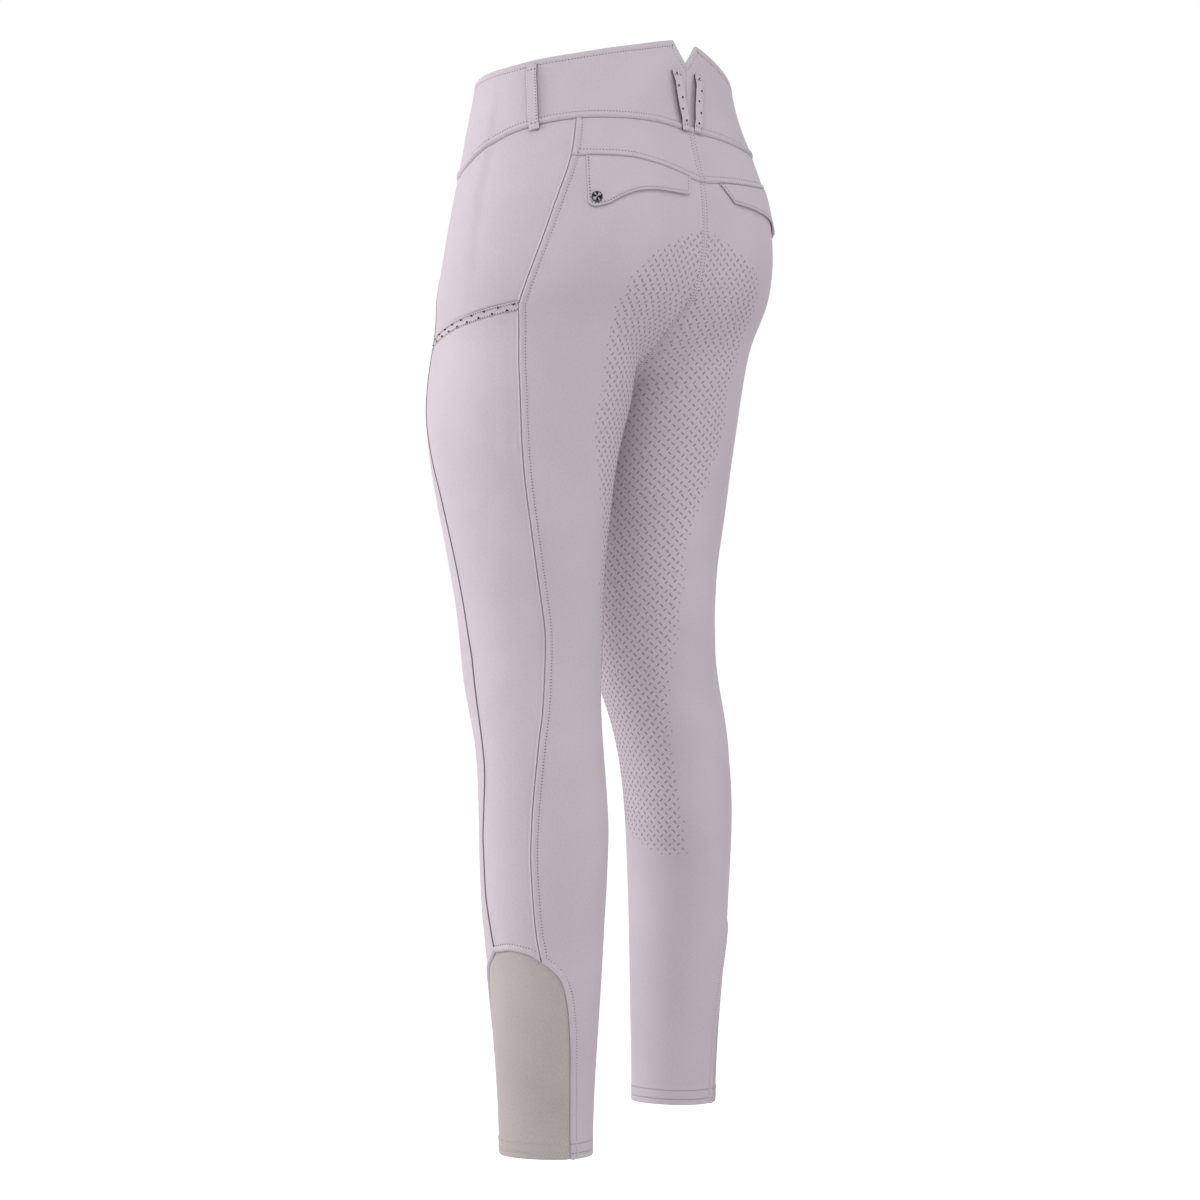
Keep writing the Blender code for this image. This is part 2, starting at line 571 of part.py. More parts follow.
def belt_loop(name, rows=12):
    """Strip sewn down at both ends and standing off the waistband between them."""
    (q0, z0), (q1, z1) = LOOPS[name]
    t = np.linspace(0, 1, rows + 1)
    point, n = centre_of(q0 + (q1 - q0) * t, z0 + (z1 - z0) * t)
    ahead = np.gradient(point, axis=0)
    across = np.cross(ahead, n)
    across /= np.linalg.norm(across, axis=-1, keepdims=True)
    lift = LOOP_OUT + LOOP_LIFT * ramp(np.minimum(t, 1 - t) / 0.22)
    rise = (n * lift[:, None])[:, None, :]
    side = np.array([-0.5, 0.0, 0.5])[None, :, None] * LOOP_WIDE
    face = point[:, None, :] + rise + side * across[:, None, :]
    return close_grids(face, face - n[:, None, :] * LOOP_THICK)


# ---------------------------------------------------------------- objects
def material(name, colour):
    mat = bpy.data.materials.new(name)
    mat.use_nodes = True
    node = mat.node_tree.nodes["Principled BSDF"]
    node.inputs["Base Color"].default_value = (*colour, 1)
    node.inputs["Roughness"].default_value = 0.35 if "stud" in name else 0.8
    return mat


def volume_of(verts, faces):
    tri = verts[np.array(faces)]
    return float(np.einsum("ij,ij->i", tri[:, 0], np.cross(tri[:, 1], tri[:, 2])).sum() / 6)


def add(name, body, colour):
    verts, faces = body
    if volume_of(verts, faces) < 0:
        faces = [tuple(reversed(f)) for f in faces]
    mesh = bpy.data.meshes.new(name)
    mesh.from_pydata([tuple(map(float, v)) for v in verts], [],
                     [tuple(int(i) for i in f) for f in faces])
    mesh.materials.append(material(name + "_mat", COLOURS[colour]))
    obj = bpy.data.objects.new(name, mesh)
    bpy.context.scene.collection.objects.link(obj)
    return obj


def mirrored(body):
    verts, faces = body
    return verts * np.array([-1.0, 1.0, 1.0]), [tuple(reversed(f)) for f in faces]


def pair(name, body, colour, other=None):
    add(name + "_left", body, colour)
    add(name + "_right", mirrored(other or body), colour)


for old in list(bpy.data.objects):
    bpy.data.objects.remove(old)

pair("waistband", waistband(1), "band", waistband(-1))
pair("yoke", yoke(1), "cloth", yoke(-1))
pair("front", front_panel(1), "cloth", front_panel(-1))
pair("back", back_panel(1), "cloth", back_panel(-1))
pair("side_upper", side_upper(1), "cloth", side_upper(-1))
pair("side_lower", side_lower(), "cloth")
pair("pocket_mouth", pocket_mouth(), "trim")
pair("pocket_bag", pocket_bag(), "trim")
pair("sock", sock_insert(1), "sock", sock_insert(-1))
pair("piping", piping(), "pipe")
pair("flap", flap(1), "trim", flap(-1))
pair("stud", flap_stud(1), "stud", flap_stud(-1))
for loop in LOOPS:
    pair(loop, belt_loop(loop), "band")
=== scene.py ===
"""Riding breeches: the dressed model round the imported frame.

Every piece is a thin shell on the form of its solid: an oval hip section and two oval leg
sections a level, blended where they meet. A place on the left leg is a level and a turn about the
leg's middle line, in degrees: 0 outward, 90 to the back, -90 to the front. The right side is the
mirror image, apart from the tables that give each side its own rows, 1 for left and -1 for right.
Metres, +Z up, the wearer faces -Y and the wearer's left is +X.
"""
import math

import bmesh
import bpy
import numpy as np
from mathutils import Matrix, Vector
from mathutils.kdtree import KDTree


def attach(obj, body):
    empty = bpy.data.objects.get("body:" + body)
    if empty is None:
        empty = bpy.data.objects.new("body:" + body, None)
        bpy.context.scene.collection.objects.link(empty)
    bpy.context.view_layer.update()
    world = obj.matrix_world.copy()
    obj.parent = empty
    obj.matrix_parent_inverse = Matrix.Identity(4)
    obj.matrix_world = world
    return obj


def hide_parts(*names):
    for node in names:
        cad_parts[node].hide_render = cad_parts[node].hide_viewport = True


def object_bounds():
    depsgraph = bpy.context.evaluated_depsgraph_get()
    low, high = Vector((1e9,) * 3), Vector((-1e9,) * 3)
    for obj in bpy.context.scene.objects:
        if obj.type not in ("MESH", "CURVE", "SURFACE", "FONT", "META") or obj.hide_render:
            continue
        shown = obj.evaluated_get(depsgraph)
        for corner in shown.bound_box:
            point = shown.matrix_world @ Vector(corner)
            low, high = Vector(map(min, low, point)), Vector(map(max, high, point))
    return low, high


bl_info = {
    "name": "Riding Breeches",
    "version": (1, 0, 0),
    "blender": (4, 5, 0),
    "location": "View3D > Sidebar > Breeches",
    "description": "Cloth, seams, stitching, grip print and trim of a pair of riding breeches",
    "category": "Object",
}

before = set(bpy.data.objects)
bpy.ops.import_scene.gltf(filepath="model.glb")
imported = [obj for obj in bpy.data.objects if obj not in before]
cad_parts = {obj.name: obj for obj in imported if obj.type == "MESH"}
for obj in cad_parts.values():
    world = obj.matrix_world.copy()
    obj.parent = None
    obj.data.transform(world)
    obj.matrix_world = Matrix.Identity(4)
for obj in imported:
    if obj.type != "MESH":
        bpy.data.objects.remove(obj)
CAD_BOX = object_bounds()

# ---------------------------------------------------------------- the form
HIP_COLUMNS = ("level", "wide", "front", "back", "mid")
HIP = (
    (0.090, 0.129, 0.096, 0.102, 0.000),
    (0.060, 0.130, 0.096, 0.102, 0.000),
    (0.030, 0.132, 0.097, 0.103, 0.000),
    (0.000, 0.134, 0.097, 0.1035, 0.000),
    (-0.030, 0.1362, 0.097, 0.1085, 0.000),
    (-0.070, 0.144, 0.099, 0.119, 0.000),
    (-0.110, 0.152, 0.101, 0.122, 0.000),
    (-0.150, 0.156, 0.102, 0.116, 0.000),
    (-0.190, 0.156, 0.098, 0.102, -0.003),
    (-0.230, 0.150, 0.090, 0.085, -0.006),
    (-0.270, 0.140, 0.080, 0.070, -0.010),
)
LEG_COLUMNS = ("level", "x", "y", "out", "in", "front", "back", "turn")
LEG = (
    (0.090, 0.060, 0.000, 0.050, 0.050, 0.060, 0.060, 0),
    (0.000, 0.066, 0.002, 0.055, 0.055, 0.068, 0.082, 0),
    (-0.050, 0.070, 0.004, 0.066, 0.064, 0.078, 0.103, 0),
    (-0.100, 0.073, 0.004, 0.075, 0.072, 0.088, 0.113, 0),
    (-0.140, 0.075, 0.002, 0.080, 0.074, 0.096, 0.113, 2),
    (-0.180, 0.077, -0.004, 0.082, 0.075, 0.103, 0.106, 4),
    (-0.220, 0.079, -0.011, 0.081, 0.076, 0.107, 0.100, 6),
    (-0.270, 0.081, -0.018, 0.079, 0.077, 0.105, 0.095, 8),
    (-0.320, 0.083, -0.021, 0.073, 0.073, 0.096, 0.089, 9),
    (-0.370, 0.082, -0.021, 0.067, 0.067, 0.086, 0.082, 10),
    (-0.420, 0.080, -0.020, 0.061, 0.062, 0.078, 0.074, 10),
    (-0.470, 0.079, -0.016, 0.058, 0.059, 0.073, 0.068, 11),
    (-0.520, 0.082, -0.010, 0.055, 0.057, 0.069, 0.063, 12),
    (-0.570, 0.086, 0.001, 0.053, 0.053, 0.062, 0.060, 14),
    (-0.620, 0.089, 0.008, 0.050, 0.050, 0.061, 0.062, 15),
    (-0.670, 0.090, 0.011, 0.047, 0.048, 0.062, 0.062, 16),
    (-0.720, 0.090, 0.011, 0.045, 0.046, 0.060, 0.059, 16),
    (-0.770, 0.089, 0.011, 0.044, 0.045, 0.055, 0.055, 16),
    (-0.830, 0.087, 0.010, 0.042, 0.043, 0.049, 0.050, 16),
    (-0.890, 0.086, 0.009, 0.040, 0.041, 0.045, 0.046, 16),
    (-0.960, 0.085, 0.009, 0.039, 0.040, 0.043, 0.043, 16),
)
BLEND_LEG, BLEND_HIP = 0.008, 0.020
INSEAM_SWING, INSEAM_DROP = 58.0, 0.120

# Upright seams, level against turn, a corner where one table ends and the next begins.
FRONT_CORNER, POCKET_CORNER, SIDE_CORNER = -0.757, -0.184, -0.760
FRONT_SEAM = (
    ((0.040, -64.0), (-0.060, -60.0), (-0.120, -54.5), (-0.180, -50.5), (-0.225, -51.5),
     (-0.265, -50.0), (-0.315, -41.0), (-0.350, -34.0), (-0.390, -30.0),
     (-0.430, -26.8), (-0.470, -23.6), (-0.500, -19.8), (-0.545, -19.3), (-0.590, -20.0),
     (-0.625, -27.0), (-0.660, -33.5), (-0.700, -33.0), (-0.735, -26.0), (FRONT_CORNER, -19.6)),
    ((FRONT_CORNER, -19.6), (-0.765, -28.0), (-0.774, -38.0), (-0.783, -43.0), (-0.800, -46.5),
     (-0.840, -52.5), (-0.950, -60.0)),
)
SIDE_SEAM = (
    ((0.040, 60.0), (-0.023, 58.0), (-0.052, 55.8), (-0.095, 48.6), (-0.140, 41.0),
     (POCKET_CORNER, 34.3)),
    ((POCKET_CORNER, 34.3), (-0.225, 37.6), (-0.265, 41.8), (-0.353, 48.8), (-0.441, 56.0),
     (-0.476, 57.8), (-0.512, 56.4), (-0.539, 53.2), (-0.565, 47.4), (-0.601, 41.0),
     (-0.638, 36.0), (-0.670, 33.6), (-0.700, 35.2), (-0.736, 39.0), (SIDE_CORNER, 44.0)),
    ((SIDE_CORNER, 44.0), (-0.765, 53.0), (-0.775, 63.5), (-0.793, 70.0), (-0.816, 73.4),
     (-0.849, 76.0), (-0.950, 78.5)),
)
# Level seams: share of the way from the centre front to the centre back against level.
TOP_EDGE = (
    (0.000, 0.030), (0.300, 0.030), (0.480, 0.031), (0.550, 0.032), (0.620, 0.0347),
    (0.700, 0.0378), (0.763, 0.0413), (0.840, 0.0473), (0.880, 0.0508), (0.920, 0.0550),
    (0.950, 0.0587), (0.970, 0.0610), (0.973, 0.0613), (0.9745, 0.0602), (0.986, 0.0518),
    (1.000, 0.0420),
)
# The waistband and yoke seams sit a little lower on the right hip.
BAND_FRONT = ((0.000, -0.060), (0.200, -0.060), (0.320, -0.058), (0.400, -0.054),
              (0.460, -0.045), (0.550, -0.033))
BAND_SEAM = {
    1: BAND_FRONT + ((0.630, -0.0265), (0.750, -0.0205), (0.850, -0.0186), (0.900, -0.0177),
                     (0.940, -0.0176), (1.000, -0.0205)),
    -1: BAND_FRONT + ((0.630, -0.0290), (0.750, -0.0271), (0.800, -0.0267), (0.840, -0.0261),
                      (0.880, -0.0245), (0.920, -0.0221), (0.960, -0.0207), (1.000, -0.0205)),
}
YOKE_SEAM = {
    1: ((0.600, -0.0538), (0.736, -0.0557), (0.800, -0.0558), (0.840, -0.0561), (0.880, -0.0581),
        (0.920, -0.0602), (0.960, -0.0634), (1.000, -0.0675)),
    -1: ((0.600, -0.0545), (0.736, -0.0572), (0.800, -0.0588), (0.840, -0.0613),
         (0.880, -0.0629), (0.920, -0.0636), (0.960, -0.0650), (1.000, -0.0675)),
}
# Level seams on the leg: turn against level.
POCKET_MOUTH = ((-70.0, -0.212), (-50.0, -0.208), (-15.0, -0.197), (15.0, -0.189), (40.0, -0.183))
MOUTH_TALL, BAG_TOP, BAG_FOOT = 0.0080, 0.012, -0.367
# How far the pocket bag stays behind the front seam and before the side seam, in degrees.
BAG_FRONT, BAG_SIDE = 4, 5
ARCH = ((-30.0, -0.7575), (-19.6, -0.7568), (7.6, -0.7522), (28.8, -0.7538), (44.0, -0.7600),
        (60.0, -0.7650))
# Hem of each side: its level, how far it rises, and the turn it rises to.
HEM = {1: (-0.9446, 0.0078, 45.0), -1: (-0.9350, 0.0085, 135.0)}
# Foot of the upright seam lines, and the seams of which each side has its own.
LOWEST, SIDED = -0.955, ("band", "yoke", "hem")
# Flap: its outer and inner end, share against level, and its foot, level against share.
FLAP_OUTER = {1: ((-0.056, 0.760), (-0.101, 0.766)), -1: ((-0.058, 0.748), (-0.101, 0.742))}
FLAP_INNER = {1: ((-0.065, 0.975), (-0.082, 0.966)), -1: ((-0.065, 0.963), (-0.083, 0.934))}
FLAP_FOOT = {
    1: ((0.761, -0.0930), (0.766, -0.0985), (0.777, -0.1012), (0.796, -0.0992), (0.828, -0.0905),
        (0.857, -0.0852), (0.887, -0.0830), (0.930, -0.0822), (0.958, -0.0818), (0.976, -0.0795)),
    -1: ((0.738, -0.0930), (0.743, -0.0985), (0.753, -0.1008), (0.767, -0.0985), (0.787, -0.0935),
         (0.820, -0.0897), (0.860, -0.0868), (0.900, -0.0840), (0.934, -0.0822), (0.965, -0.0800)),
}
FLAP_OUT, FLAP_LIFT, LOOP_OUT, LOOP_LIFT = 0.0019, 0.0006, 0.0023, 0.0026
FLAP_WALL = 0.0015
# Stud: its place as share and level, and the rim's rings, each a radius in widths and a height.
STUD_AT = {1: (0.780, -0.0935), -1: (0.755, -0.0935)}
# Fly: the stitched row's places, as share and level.
FLY_ROW = ((0.080, -0.062), (0.081, -0.100), (0.081, -0.140), (0.070, -0.172), (0.040, -0.192),
           (0.004, -0.200))
STUD_RIM = ((0.500, 0.0), (0.505, 0.0006), (0.480, 0.0010), (0.440, 0.0011), (0.415, 0.0008))
STUD_SIDES, STUD_WEDGES, STUD_POINT = 40, 16, 0.0017
# Belt loops: share and level of the upper and the lower end.
LOOP_SIDES = 16
LOOPS = {
    "loop_side": ((0.622, 0.0300), (0.643, -0.0300)),
    "loop_back": ((0.9745, 0.0340), (0.9875, -0.0200)),
    "loop_front": ((0.215, 0.0240), (0.215, -0.0630)),
}
# Grip print: its outer edge, share against level, and its foot, level against share.
GRIP_EDGE = (
    (-0.108, 1.010), (-0.1146, 0.976), (-0.1287, 0.917), (-0.142, 0.873), (-0.1607, 0.850),
    (-0.1756, 0.836), (-0.1967, 0.826), (-0.2287, 0.804), (-0.2623, 0.779), (-0.2852, 0.757),
    (-0.317, 0.742), (-0.338, 0.714), (-0.356, 0.689), (-0.392, 0.654), (-0.4213, 0.649),
    (-0.4503, 0.657), (-0.4841, 0.669), (-0.5034, 0.683), (-0.5236, 0.697), (-0.5468, 0.710),
    (-0.5864, 0.724), (-0.6414, 0.717), (-0.6700, 0.711), (-0.7000, 0.705),
)
GRIP_FOOT = (
    (0.700, -0.6885), (0.766, -0.6897), (0.794, -0.6858), (0.839, -0.6829), (0.880, -0.6791),
    (0.970, -0.6704), (1.000, -0.6670),
)
# Its top, the level that the rows are counted from, and how far inside the leg's middle the
# upright plane lies that the dashes' columns follow.
GRIP_TOP, GRIP_LEVEL, GRIP_PLANE = -0.110, -0.450, 0.034
# How far its rows drop towards the middle for each metre across, against level.
GRIP_LEAN = {
    1: ((-0.350, -0.03), (-0.300, 0.00), (-0.245, 0.06), (-0.215, 0.10), (-0.167, 0.22),
        (-0.120, 0.18)),
    -1: ((-0.660, -0.11), (-0.470, -0.18), (-0.320, -0.18), (-0.280, -0.13), (-0.240, -0.05),
         (-0.200, 0.05), (-0.165, 0.11), (-0.120, 0.12)),
}

# Soft creases: from turn and level, to turn and level, half width and depth.
CREASES = {
    1: (
        (96, -0.205, 118, -0.236, 0.013, 0.0011), (70, -0.232, 108, -0.262, 0.016, 0.0009),
        (60, -0.498, 116, -0.512, 0.014, 0.0010), (74, -0.528, 124, -0.548, 0.012, 0.0008),
        (52, -0.470, 92, -0.476, 0.015, 0.0006), (20, -0.150, 50, -0.120, 0.018, 0.0006),
        (-28, -0.240, -6, -0.330, 0.016, 0.0005), (-62, -0.530, -112, -0.520, 0.016, 0.0010),
        (-66, -0.566, -118, -0.578, 0.014, 0.0009), (-96, -0.262, -58, -0.232, 0.016, 0.0010),
        (-128, -0.250, -84, -0.204, 0.014, 0.0009), (-150, -0.262, -116, -0.225, 0.011, 0.0008),
        (126, -0.236, 152, -0.262, 0.010, 0.0010), (100, -0.640, 132, -0.700, 0.014, 0.0005),
        (64, -0.860, 118, -0.872, 0.010, 0.0004), (150, -0.420, 170, -0.540, 0.016, 0.0007),
    ),
    -1: (
        (90, -0.210, 116, -0.232, 0.014, 0.0010), (66, -0.240, 110, -0.268, 0.015, 0.0010),
        (56, -0.506, 112, -0.500, 0.013, 0.0011), (70, -0.540, 120, -0.534, 0.013, 0.0008),
        (58, -0.476, 96, -0.462, 0.016, 0.0006), (16, -0.140, 48, -0.128, 0.018, 0.0006),
        (-26, -0.250, -8, -0.318, 0.016, 0.0005), (-60, -0.524, -108, -0.530, 0.016, 0.0010),
        (-70, -0.572, -116, -0.566, 0.014, 0.0008), (-92, -0.268, -60, -0.238, 0.016, 0.0010),
        (-124, -0.254, -88, -0.212, 0.014, 0.0009), (-148, -0.258, -112, -0.220, 0.011, 0.0008),
        (122, -0.240, 150, -0.266, 0.010, 0.0010), (104, -0.650, 130, -0.706, 0.014, 0.0005),
        (60, -0.868, 114, -0.862, 0.010, 0.0004), (146, -0.410, 168, -0.530, 0.016, 0.0007),
    ),
}
# Seat: the cleft's top, foot, depth and half width; the fullness beside it: turn and level of its
# middle, half width, half height and rise, on a thigh of about this radius.
CLEFT_TOP, CLEFT_FOOT, CLEFT_DEPTH, CLEFT_HALF = -0.165, -0.300, 0.0050, 0.009
FULL_TURN, FULL_LEVEL, FULL_WIDE, FULL_TALL, FULL_RISE = 130, -0.250, 0.030, 0.045, 0.0035
THIGH_RADIUS = 0.085
HALF_SEAM = 0.00016


def soft_curve(rows, column):
    """Natural cubic curve of one column against the first."""
    data = np.array(sorted(rows), float)
    x, y = data[:, 0], data[:, column]
    n, h = len(x), np.diff(x)
    mat, rhs = np.eye(n), np.zeros(n)
    for i in range(1, n - 1):
        mat[i, i - 1:i + 2] = h[i - 1], 2 * (h[i - 1] + h[i]), h[i]
        rhs[i] = 6 * ((y[i + 1] - y[i]) / h[i] - (y[i] - y[i - 1]) / h[i - 1])
    bend = np.linalg.solve(mat, rhs)

    def curve(t):
        t = np.clip(np.asarray(t, float), x[0], x[-1])
        i = np.clip(np.searchsorted(x, t) - 1, 0, n - 2)
        a, b = (x[i + 1] - t) / h[i], (t - x[i]) / h[i]
        bow = ((a ** 3 - a) * bend[i] + (b ** 3 - b) * bend[i + 1]) * h[i] ** 2 / 6
        return a * y[i] + b * y[i + 1] + bow
    return curve


def firm_curve(rows):
    """Curve through the rows that never runs past them."""
    data = np.array(sorted(rows), float)
    x, y = data[:, 0], data[:, 1]
    h, d = np.diff(x), np.diff(y) / np.diff(x)
    slope = np.zeros(len(x))
    slope[0], slope[-1] = d[0], d[-1]
    same = d[1:] * d[:-1] > 0
    w1, w2 = 2 * h[1:] + h[:-1], h[1:] + 2 * h[:-1]
    safe = np.where(same, d[1:] * d[:-1], 1.0)
    slope[1:-1] = np.where(same, (w1 + w2) * safe / (w1 * d[1:] + w2 * d[:-1] + (~same)), 0.0)

    def curve(t):
        t = np.clip(np.asarray(t, float), x[0], x[-1])
        i = np.clip(np.searchsorted(x, t) - 1, 0, len(x) - 2)
        u = (t - x[i]) / h[i]
        return ((1 + 2 * u) * (1 - u) ** 2 * y[i] + u * (1 - u) ** 2 * h[i] * slope[i]
                + u * u * (3 - 2 * u) * y[i + 1] + u * u * (u - 1) * h[i] * slope[i + 1])
    return curve


def cornered_curve(tables):
    """Curve through several tables, from the top down, with a corner between each two."""
    curves = [firm_curve(rows) for rows in tables]

    def curve(z):
        turn = curves[0](z)
        for rows, lower in zip(tables[1:], curves[1:]):
            turn = np.where(np.asarray(z) < rows[0][0], lower(z), turn)
        return turn
    return curve


def ramp(t):
    """Soft step from zero at 0 to one at 1."""
    t = np.clip(t, 0.0, 1.0)
    return t * t * (3 - 2 * t)


def unit(v):
    return v / np.maximum(np.linalg.norm(v, axis=-1, keepdims=True), 1e-12)


def lengths(points, axis=0):
    """Length from the first point to each, along one axis of a line or grid of points."""
    run = np.cumsum(np.linalg.norm(np.diff(points, axis=axis), axis=-1), axis)
    return np.insert(run, 0, 0.0, axis)


def mirror(side):
    """What points of the left side are multiplied by on each side."""
    return np.array([side, 1.0, 1.0])


FRONT_AT, SIDE_AT = cornered_curve(FRONT_SEAM), cornered_curve(SIDE_SEAM)
TOP_AT, MOUTH_AT, ARCH_AT = firm_curve(TOP_EDGE), firm_curve(POCKET_MOUTH), firm_curve(ARCH)
BAND_AT = {side: soft_curve(rows, 1) for side, rows in BAND_SEAM.items()}
YOKE_AT = {side: firm_curve(rows) for side, rows in YOKE_SEAM.items()}
FOOT_AT = {side: firm_curve(rows) for side, rows in FLAP_FOOT.items()}
GRIP_EDGE_AT, GRIP_FOOT_AT = firm_curve(GRIP_EDGE), firm_curve(GRIP_FOOT)

# Section sizes every half millimetre of height, so that a level is looked up and not solved.
LEVELS = np.linspace(-0.975, 0.100, 2151)
HIP_SIZES = {name: soft_curve(HIP, i)(LEVELS) for i, name in enumerate(HIP_COLUMNS) if i}
LEG_SIZES = {name: soft_curve(LEG, i)(LEVELS) for i, name in enumerate(LEG_COLUMNS) if i}


def leg_middle(z):
    """Middle of the left leg at a level: its x and its y."""
    return np.interp(z, LEVELS, LEG_SIZES["x"]), np.interp(z, LEVELS, LEG_SIZES["y"])


def oval(x, y, out, inward, back, front):
    """Signed distance, near enough, to an oval with its own reach on each side."""
    wide, deep = np.where(x > 0, out, inward), np.where(y > 0, back, front)
    return (np.hypot(x / wide, y / deep) - 1) * 0.5 * (wide + deep)


def cloth_field(x, y, z):
    """Below zero inside the garment, zero on the cloth."""
    hip = {k: np.interp(z, LEVELS, v) for k, v in HIP_SIZES.items()}
    leg = {k: np.interp(z, LEVELS, v) for k, v in LEG_SIZES.items()}
    parts = [oval(x, y - hip["mid"], hip["wide"], hip["wide"], hip["back"], hip["front"])
             + 0.05 * np.clip((-0.160 - z) / 0.07, 0, 4) ** 2]
    c, s = np.cos(np.radians(leg["turn"])), np.sin(np.radians(leg["turn"]))
    for side in (1, -1):
        u, v = side * x - leg["x"], y - leg["y"]
        parts.append(oval(u * c + v * s, v * c - u * s, leg["out"], leg["in"], leg["back"],
                          leg["front"]) + 0.02 * np.clip((z + 0.03) / 0.06, 0, 3) ** 2)
    k = BLEND_LEG + (BLEND_HIP - BLEND_LEG) * ramp((z + 0.25) / 0.10)
    low = np.minimum(np.minimum(parts[0], parts[1]), parts[2])
    return low - k * np.log(sum(np.exp((low - p) / k) for p in parts))


def edge_of(field, inside, outside, steps=27):
    """Halve the way from an inside place to an outside one down to the cloth."""
    inside, outside = np.array(inside, float), np.array(outside, float)
    for _ in range(steps):
        mid = 0.5 * (inside + outside)
        within = field(mid) < 0
        inside, outside = np.where(within, mid, inside), np.where(within, outside, mid)
    return 0.5 * (inside + outside)


def crotch_point():
    """Lowest point of the cloth in the middle plane: its y and its level."""
    across = np.linspace(-0.05, 0.05, 201)
    high, low = -0.10, -0.35
    for _ in range(40):
        mid = 0.5 * (high + low)
        depth = cloth_field(0 * across, across, mid + 0 * across)
        high, low = (mid, low) if depth.min() < 0 else (high, mid)
    return float(across[depth.argmin()]), high


CROTCH_Y, CROTCH_Z = crotch_point()


def seam_ends():
    """Turn of the front and the back end of each level: middle plane, or inner seam lower down."""
    z = np.unique(np.concatenate([LEVELS, CROTCH_Z + np.geomspace(1e-7, 4e-3, 60),
                                  CROTCH_Z - np.geomspace(1e-7, 4e-3, 60), [CROTCH_Z]]))
    up = np.maximum(z, CROTCH_Z + 1e-7)
    start, zero = CROTCH_Y + 0 * up, 0 * up
    front = edge_of(lambda y: cloth_field(zero, y, up), start, start - 0.25, 40)
    back = edge_of(lambda y: cloth_field(zero, y, up), start, start + 0.25, 40)
    x, y = leg_middle(up)
    a = np.degrees(np.arctan2(front - y, -x)) % 360 - 360
    b = np.degrees(np.arctan2(back - y, -x)) % 360
    mx, my = leg_middle(CROTCH_Z)
    meet = math.degrees(math.atan2(CROTCH_Y - my, -mx)) % 360
    seam = meet - 360 + INSEAM_SWING * ramp((CROTCH_Z - z) / INSEAM_DROP)
    low = z < CROTCH_Z
    return z, np.where(low, seam, a), np.where(low, seam + 360, b)


END_LEVELS, FRONT_ENDS, BACK_ENDS = seam_ends()


def front_end(z):
    return np.interp(z, END_LEVELS, FRONT_ENDS)


def back_end(z):
    return np.interp(z, END_LEVELS, BACK_ENDS)


def share(turn, z):
    """Share of the way from the front end of a level to its back end."""
    a, b = front_end(z), back_end(z)
    return (turn - a) / (b - a)


def turn_of(q, z):
    a, b = front_end(z), back_end(z)
    return a + (b - a) * q


def on_cloth(turn, z):
    """Points of the left side of the garment."""
    turn, z = np.broadcast_arrays(np.asarray(turn, float), np.asarray(z, float))
    x, y = leg_middle(z)
    c, s = np.cos(np.radians(turn)), np.sin(np.radians(turn))
    reach = np.where(c < -1e-9, x / np.maximum(-c, 1e-9), 0.4)
    r = edge_of(lambda r: cloth_field(x + r * c, y + r * s, z), 0 * z, np.minimum(0.4, reach))
    return np.stack([x + r * c, y + r * s, z], -1)


def place_of(points):
    """Turn and level of points near the left leg."""
    x, y = leg_middle(points[..., 2])
    return np.degrees(np.arctan2(points[..., 1] - y, points[..., 0] - x)), points[..., 2]


def outward(points, h=0.0003):
    """Unit vectors straight out of the cloth."""
    grad = []
    for axis in np.eye(3) * h:
        ahead, behind = points + axis, points - axis
        grad.append(cloth_field(*np.moveaxis(ahead, -1, 0))
                    - cloth_field(*np.moveaxis(behind, -1, 0)))
    return unit(np.stack(grad, -1))


def side_name(side):
    return "left" if side > 0 else "right"


def own_name(seam, side):
    """Name of a seam's line where each side has its own."""
    return f"{seam}_{side_name(side)}" if seam in SIDED else seam


def hem_at(turn, side):
    """Level of a side's hem at a turn."""
    level, rise, facing = HEM[side]
    return level + rise * np.cos(np.radians(turn - facing))


# ---------------------------------------------------------------- seam lines and relief
def line_by_share(curve, low=0.0, high=1.0, count=520):
    q = np.linspace(low, high, count)
    z = curve(q)
    return turn_of(q, z), z


def line_by_level(turn, top, foot, count=520):
    z = np.linspace(top, foot, count)
    return turn(z), z


def mouth_line(shift):
    turn = np.linspace(float(FRONT_AT(-0.208)), float(SIDE_AT(POCKET_CORNER)), 160)
    return turn, MOUTH_AT(turn) + shift


def seam_lines():
    """Turn and level along every seam and edge, as on the left; the SIDED ones once a side."""
    full = np.linspace(-180, 180, 500)
    arch = np.linspace(-19.6, 44.0, 160)
    lines = {}
    for side in (1, -1):
        end = "_" + side_name(side)
        lines["band" + end] = line_by_share(BAND_AT[side])
        lines["yoke" + end] = line_by_share(YOKE_AT[side], 0.736)
        lines["hem" + end] = (full, hem_at(full, side))
    lines.update({
        "top": line_by_share(TOP_AT), "side": line_by_level(SIDE_AT, -0.0215, SIDE_CORNER),
        "side_low": line_by_level(SIDE_AT, SIDE_CORNER, LOWEST, 260),
        "front": line_by_level(FRONT_AT, -0.0570, FRONT_CORNER),
        "front_low": line_by_level(FRONT_AT, FRONT_CORNER, LOWEST, 260),
        "mouth_top": mouth_line(MOUTH_TALL / 2), "mouth_foot": mouth_line(-MOUTH_TALL / 2),
        "arch": (arch, ARCH_AT(arch)),
        "centre_back": line_by_level(back_end, 0.042, CROTCH_Z),
        "centre_front": line_by_level(front_end, 0.030, CROTCH_Z),
        "inner": line_by_level(front_end, CROTCH_Z, LOWEST),
    })
    return lines


SEAMS = seam_lines()
SEAM_POINTS = {name: on_cloth(turn, z) for name, (turn, z) in SEAMS.items()}


